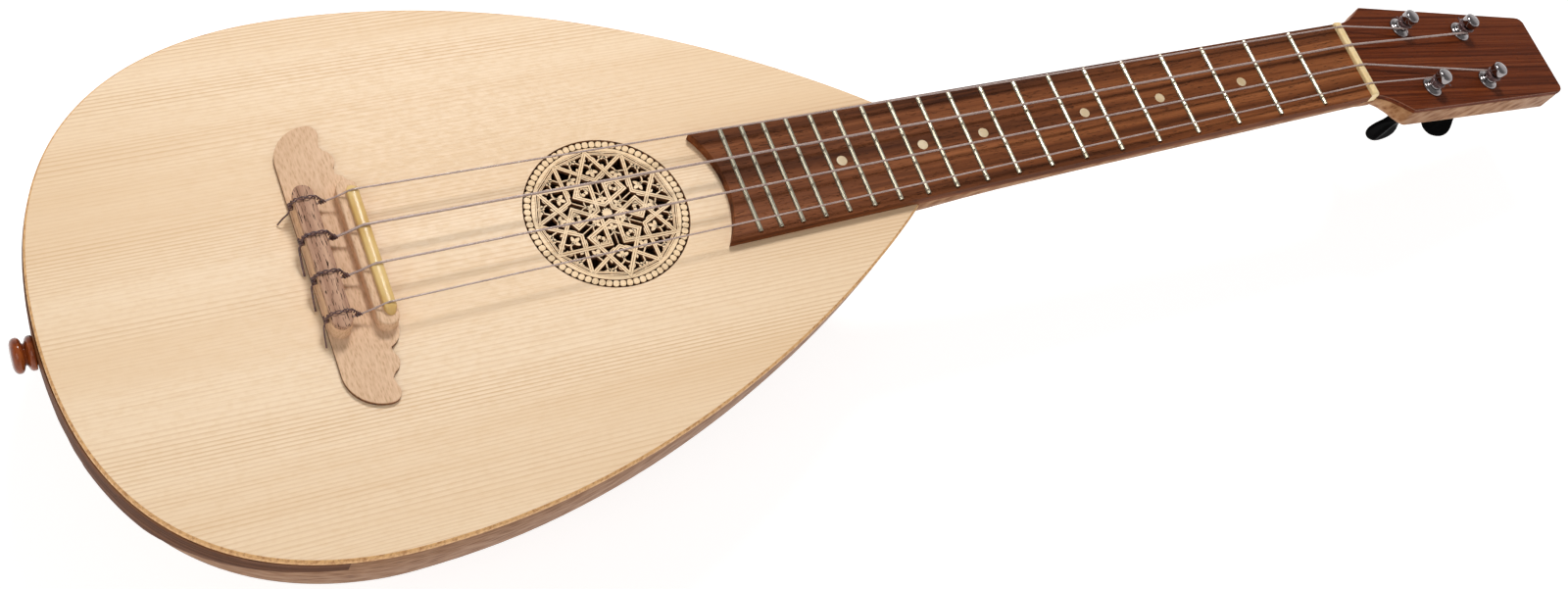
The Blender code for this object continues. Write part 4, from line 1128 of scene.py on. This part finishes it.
def make_peg(name, s, v, button_turn):
    """A collar in the headstock, and a waisted post and a button that turn together."""
    origin = on_head(s, v, 0)
    collar = mm_rows(((2.75, -9.0), (4.0, -9.0), (4.0, 0.03), (5.0, 0.03), (5.0, 0.55),
                      (4.85, 0.85), (4.5, 1.15), (4.0, 1.4), (3.6, 1.55), (3.3, 1.9),
                      (3.0, 1.95), (2.75, 1.8)))
    post = mm_rows(((2.6, -14.8), (2.6, 2.1), (2.45, 2.4), (2.25, 2.7), (2.1, 3.6), (2.2, 5.0),
                    (2.45, 5.4), (2.95, 5.8), (3.35, 6.15), (3.5, 6.6), (3.5, 9.0),
                    (3.42, 9.25), (2.95, 9.65), (2.7, 9.78), (0.4, 9.8)))
    bm = new_bmesh()
    add_turned(bm, collar, origin, HEAD_NORMAL, 48, closed=True)
    add_piece(f"peg_{name}_collar", bm, [CHROME], "peg_chrome", [f"peg_{name}_bushing"],
              smooth=38)
    bm = new_bmesh()
    add_turned(bm, post, origin, HEAD_NORMAL, 48)
    add_piece(f"peg_{name}_shaft", bm, [CHROME], "peg_chrome", [f"peg_{name}_post"],
              body=f"peg_{name}", smooth=38)
    make_button(name, origin, math.radians(button_turn))


# share of the length, half-width, half-thickness, depth of the dish
BUTTON_ROWS = (
    (0.0, 0.90, 0.90, 0), (0.015, 0.97, 0.97, 0), (0.08, 1.0, 1.0, 0), (0.15, 0.92, 0.92, 0),
    (0.22, 0.86, 0.84, 0), (0.30, 0.83, 0.75, 0), (0.38, 0.86, 0.68, 0.1),
    (0.44, 0.98, 0.64, 0.5), (0.50, 1.15, 0.62, 0.8), (0.56, 1.38, 0.62, 1),
    (0.62, 1.58, 0.62, 1), (0.69, 1.73, 0.61, 1), (0.75, 1.79, 0.60, 1), (0.81, 1.74, 0.59, 1),
    (0.87, 1.59, 0.56, 0.9), (0.92, 1.35, 0.52, 0.5), (0.96, 1.05, 0.44, 0.1),
    (0.985, 0.78, 0.36, 0), (1.0, 0.45, 0.22, 0),
)


def make_button(name, origin, turn):
    """A conical hub that widens into a dished paddle with a rib down its middle."""
    along = Vector((math.cos(turn), math.sin(turn), 0))
    wide = (along - HEAD_NORMAL * along.dot(HEAD_NORMAL)).normalized()
    thin = HEAD_NORMAL.cross(wide)
    rings = []
    count = 48
    for part, half_wide, half_thin, dish in BUTTON_ROWS:
        middle = origin - HEAD_NORMAL * (HEAD_BACK + 0.4 * MM + part * BUTTON_LENGTH)
        ring = []
        for k in range(count):
            angle = 2 * math.pi * k / count
            across, through = math.cos(angle), math.sin(angle)
            rim = 1 - abs(across) ** 6
            rib = 1 - 0.75 * math.exp(-(across / 0.16) ** 2)
            cup = 1 - 0.50 * dish * rim * rib * (abs(through) > 0.2)
            ring.append(middle + wide * (BUTTON_HUB * half_wide * across)
                        + thin * (BUTTON_HUB * half_thin * through * cup))
        rings.append(ring)
    add_lofted(f"peg_{name}_handle", rings, None, [BLACK], "button_plastic",
               [f"peg_{name}_button"], body=f"peg_{name}", smooth=55)


# Strings

def string_curve(name, radius):
    curve = bpy.data.curves.new(name, "CURVE")
    curve.dimensions = "3D"
    curve.bevel_depth = radius
    curve.bevel_resolution = 3
    curve.use_fill_caps = True
    curve.materials.append(NYLON)
    # The second material is the nylon darkened with painted shade, for the knots, loop, tail and
    # coils
    curve.materials.append(NYLON_PAINTED_SHADE)
    return curve


def add_spline(curve, points, thickness=1.0, painted_shade=True):
    spline = curve.splines.new("POLY")
    # Wrapped, knotted and tail splines take the nylon darkened by painted shade; the taut run takes
    # the plain nylon
    spline.material_index = 1 if painted_shade else 0
    spline.points.add(len(points) - 1)
    for point, place in zip(spline.points, points):
        point.co = (*place, 1.0)
        point.radius = thickness


def place_string(curve, name, body, replaces=()):
    """Turn the curve into a mesh with its grain attribute and hang it on its body."""
    line = put(name + "_line", curve)
    bpy.context.view_layer.update()
    graph = bpy.context.evaluated_depsgraph_get()
    mesh = bpy.data.meshes.new_from_object(line.evaluated_get(graph))
    bpy.data.objects.remove(line)
    attribute = mesh.attributes.new("grain", "FLOAT_VECTOR", "POINT")
    for vert, value in zip(mesh.vertices, attribute.data):
        value.vector = vert.co
    mesh.shade_smooth()
    hang(name, mesh, body, replaces)


def helix(centre, axis, side, radius, pitch, turns, start=0.0):
    axis = axis.normalized()
    side = (side - axis * side.dot(axis)).normalized()
    other = axis.cross(side)
    per_turn = 18
    points = []
    for k in range(int(turns * per_turn) + 1):
        share = k / per_turn
        turn = start + 2 * math.pi * share
        points.append(centre + axis * (pitch * share) + side * (radius * math.cos(turn))
                      + other * (radius * math.sin(turn)))
    return points


def twisted(path, radius, turns, start):
    """A strand that winds round a path, as one of a twisted pair."""
    last = len(path) - 1
    points = []
    across = Vector((0, 1, 0))
    for k, p in enumerate(path):
        ahead = (path[min(k + 1, last)] - path[max(k - 1, 0)]).normalized()
        first = (across - ahead * across.dot(ahead)).normalized()
        second = ahead.cross(first)
        turn = start + 2 * math.pi * turns * k / last
        points.append(p + first * (radius * math.cos(turn)) + second * (radius * math.sin(turn)))
    return points


# The loop over the tie block: u, share of the loop's lean to one side, height, in mm
TIE_LOOP = (
    (451.4, 0, 5.1), (452.4, 0.3, 7.2), (452.0, 1, 9.8), (450.6, 1, 11.0), (447.6, 1.4, 11.3),
    (444.6, 1, 11.0), (443.2, 0.6, 9.6), (442.2, 0, 7.8), (440.6, 0, 5.9),
)


def make_string(name, radius, v_saddle, v_nut, tail_end, peg):
    """A taut string with the loop, knots and free tail that tie it on, in nylon darkened by painted
    shade; its coil is a piece of its own.
    """
    _, s_peg, v_peg, _ = peg
    rng = random.Random(name)
    saddle_h = SADDLE_TOP + radius + 0.02 * MM
    nut_h = NUT_TOP + radius * 0.7
    curve = string_curve(f"string_{name}", radius)
    side_on = mm_rows(((451.0, 4.9), (444.2, 4.9), (442.0, 5.0), (440.2, 5.6), (436.0, 7.4)))
    side_on += [(SADDLE_U + 1.6 * MM, saddle_h - 0.5 * MM), (SADDLE_U + 0.4 * MM, saddle_h),
                (SADDLE_U - 1.2 * MM, saddle_h)]
    route = [at(u, v_saddle, h) for u, h in side_on]
    route += [at(u * MM, v_nut, nut_h - down * MM)
              for u, down in ((-0.6, 0.0), (-1.6, 0.0), (-3.4, 0.3))]
    inner = math.copysign(PEG_WAIST_R + radius + 0.1 * MM, v_peg)
    route.append(on_head(s_peg, v_peg - inner, PEG_WIND_H))
    add_spline(curve, route, painted_shade=False)

    lean = rng.uniform(-0.6, 0.6) * MM
    loop = smooth_path([at(u * MM, v_saddle + share * lean, h * MM)
                        for u, share, h in TIE_LOOP], 10)
    for start in (0.0, math.pi):
        add_spline(curve, twisted(loop, TWIST_R, TWIST_TURNS, start), TWIST_THICKNESS)
    knot = 0.85 * radius + 0.25 * MM
    front_knot = helix(at(441.9 * MM, v_saddle, 5.2 * MM), Vector((11.5, 0, 5.1)),
                       Vector((0, 1, 0)), knot, 0.85 * MM, 2.6)
    add_spline(curve, front_knot, FRONT_KNOT_THICKNESS)
    back_knot = helix(at(452.4 * MM, v_saddle + 1.3 * MM, 6.4 * MM), Vector((0, -1, 0)),
                      Vector((0, 0, 1)), knot + 0.1 * MM, 0.8 * MM, 3.2, rng.uniform(0, 6))
    add_spline(curve, back_knot, BACK_KNOT_THICKNESS)
    u_end, v_end, h_end = tail_end
    leaving = v_saddle - 2.0 * MM
    tail = smooth_path([
        at(452.9 * MM, v_saddle - 1.2 * MM, 6.2 * MM), at(453.5 * MM, leaving, 5.2 * MM),
        at((453.7 * MM + u_end) / 2, (leaving + v_end) / 2, 3.2 * MM), at(u_end, v_end, h_end)],
        8)
    add_spline(curve, tail, TAIL_THICKNESS)
    place_string(curve, f"strung_{name}", "root", [f"string_{name}"])
    make_coil(name, radius, s_peg, v_peg, rng)


def make_coil(name, radius, s_peg, v_peg, rng):
    """The turns of a string round its peg, and the cut end that stands away from them, in nylon
    darkened by painted shade.
    """
    coil = string_curve(f"coil_{name}", radius)
    side = Vector((0, -math.copysign(1, v_peg), 0))
    pitch = 2 * radius + 0.04 * MM
    wind_r = PEG_WAIST_R + radius
    base = on_head(s_peg, v_peg, COIL_LOW)
    add_spline(coil, helix(base, HEAD_NORMAL, side, wind_r, pitch, COIL_TALL / pitch))
    upper = on_head(s_peg, v_peg, PEG_WIND_H + 2.2 * radius)
    add_spline(coil, helix(upper, HEAD_NORMAL, side, wind_r + 1.6 * radius, pitch * 0.4, 1.3, 1.2))
    out = Vector((math.cos(STUB_TURNS[name]), math.sin(STUB_TURNS[name]), 0))
    stub = [on_head(s_peg, v_peg, STUB_HIGH) + out * (wind_r - 0.1 * MM)]
    stub.append(stub[0] + out * 1.3 * MM + HEAD_NORMAL * 0.4 * MM)
    stub.append(stub[1] + out * 1.2 * MM + Vector((out.y, -out.x, 0)) * 0.9 * MM
                + HEAD_NORMAL * rng.uniform(0.1, 0.8) * MM)
    add_spline(coil, smooth_path(stub, 5), STUB_THICKNESS)
    place_string(coil, f"coil_{name}", f"peg_{name}")


# Build

make_soundboard()
make_rosette()
make_ribs()
make_tail_clasp()
make_endpin()
make_neck()
make_veneer()
make_nut()
make_fingerboard()
make_bridge()
make_saddle()
for peg_row in PEGS:
    make_peg(*peg_row)
for string_row, peg_row in zip(STRINGS, PEGS):
    make_string(*string_row, peg_row)
for fret_number in range(1, FRETS + 1):
    repaint(f"fret_{fret_number:02d}", NICKEL)
for hidden in ("neck_block", "tail_block", "brace_1", "brace_2", "brace_3"):
    repaint(hidden, INNER)


# Studio

FLOOR_GLOW = 0.77
LIT_PLACE = at(380 * MM, 0, 0)
# name, place from the body's middle, diameter, power in watts
LIGHTS = (("key", (0.35, 0.85, 1.45), 0.45, 18.0), ("fill", (-0.9, -0.8, 1.3), 1.2, 6.5))
LENS_MM = 49.52
CAMERA_PLACE = at(597.2 * MM, -344.2 * MM, 667.4 * MM)
CAMERA_RIGHT = (0.8986, -0.3531, 0.2606)
CAMERA_UP = (0.1996, 0.8576, 0.4740)
CAMERA_BACK = (-0.3909, -0.3740, 0.8411)


def make_floor():
    bm = bmesh.new()
    bmesh.ops.create_grid(bm, x_segments=8, y_segments=8, size=6.0)
    mesh = bpy.data.meshes.new("floor")
    bm.to_mesh(mesh)
    bm.free()
    material = bpy.data.materials.new("pale_floor")
    material.use_nodes = True
    tree = material.node_tree
    wire(tree, tree.nodes["Principled BSDF"], {
        "Base Color": (0.50, 0.50, 0.50, 1), "Roughness": 0.9,
        "Emission Color": (1, 1, 1, 1), "Emission Strength": FLOOR_GLOW})
    mesh.materials.append(material)
    put("floor", mesh)


def make_light(name, offset, size, power):
    """A round soft light that points at the body."""
    light = bpy.data.lights.new(name, "AREA")
    light.shape = "DISK"
    light.size = size
    light.energy = power
    thing = put(name, light)
    thing.location = LIT_PLACE + Vector(offset)
    thing.rotation_euler = (-Vector(offset)).to_track_quat("-Z", "Y").to_euler()


def make_camera():
    """The photograph's view, from above the near side of the tail."""
    data = bpy.data.cameras.new("camera")
    data.lens = LENS_MM
    data.sensor_width = 36.0
    data.clip_start = 0.01
    camera = put("camera", data)
    turn = Matrix((CAMERA_RIGHT, CAMERA_UP, CAMERA_BACK)).transposed().to_4x4()
    camera.matrix_world = Matrix.Translation(CAMERA_PLACE) @ turn
    bpy.context.scene.camera = camera


def make_world():
    """A studio with a bright ring of walls and a dimmer ceiling."""
    world = bpy.data.worlds.new("studio")
    world.use_nodes = True
    tree = world.node_tree
    direction = tree.nodes.new("ShaderNodeTexCoord")
    parts = wire(tree, tree.nodes.new("ShaderNodeSeparateXYZ"),
                 {0: direction.outputs["Generated"]})
    level = wire(tree, tree.nodes.new("ShaderNodeMapRange"), {
        "Value": parts.outputs["Z"], "From Min": 0.22, "From Max": 0.55, "To Min": 0.95,
        "To Max": 0.26})
    wire(tree, tree.nodes["Background"], {"Strength": level.outputs["Result"],
                                          "Color": (1.0, 1.0, 1.0, 1)})
    bpy.context.scene.world = world


make_world()
bpy.context.scene.view_settings.view_transform = "Standard"
make_floor()
for light_row in LIGHTS:
    make_light(*light_row)
make_camera()
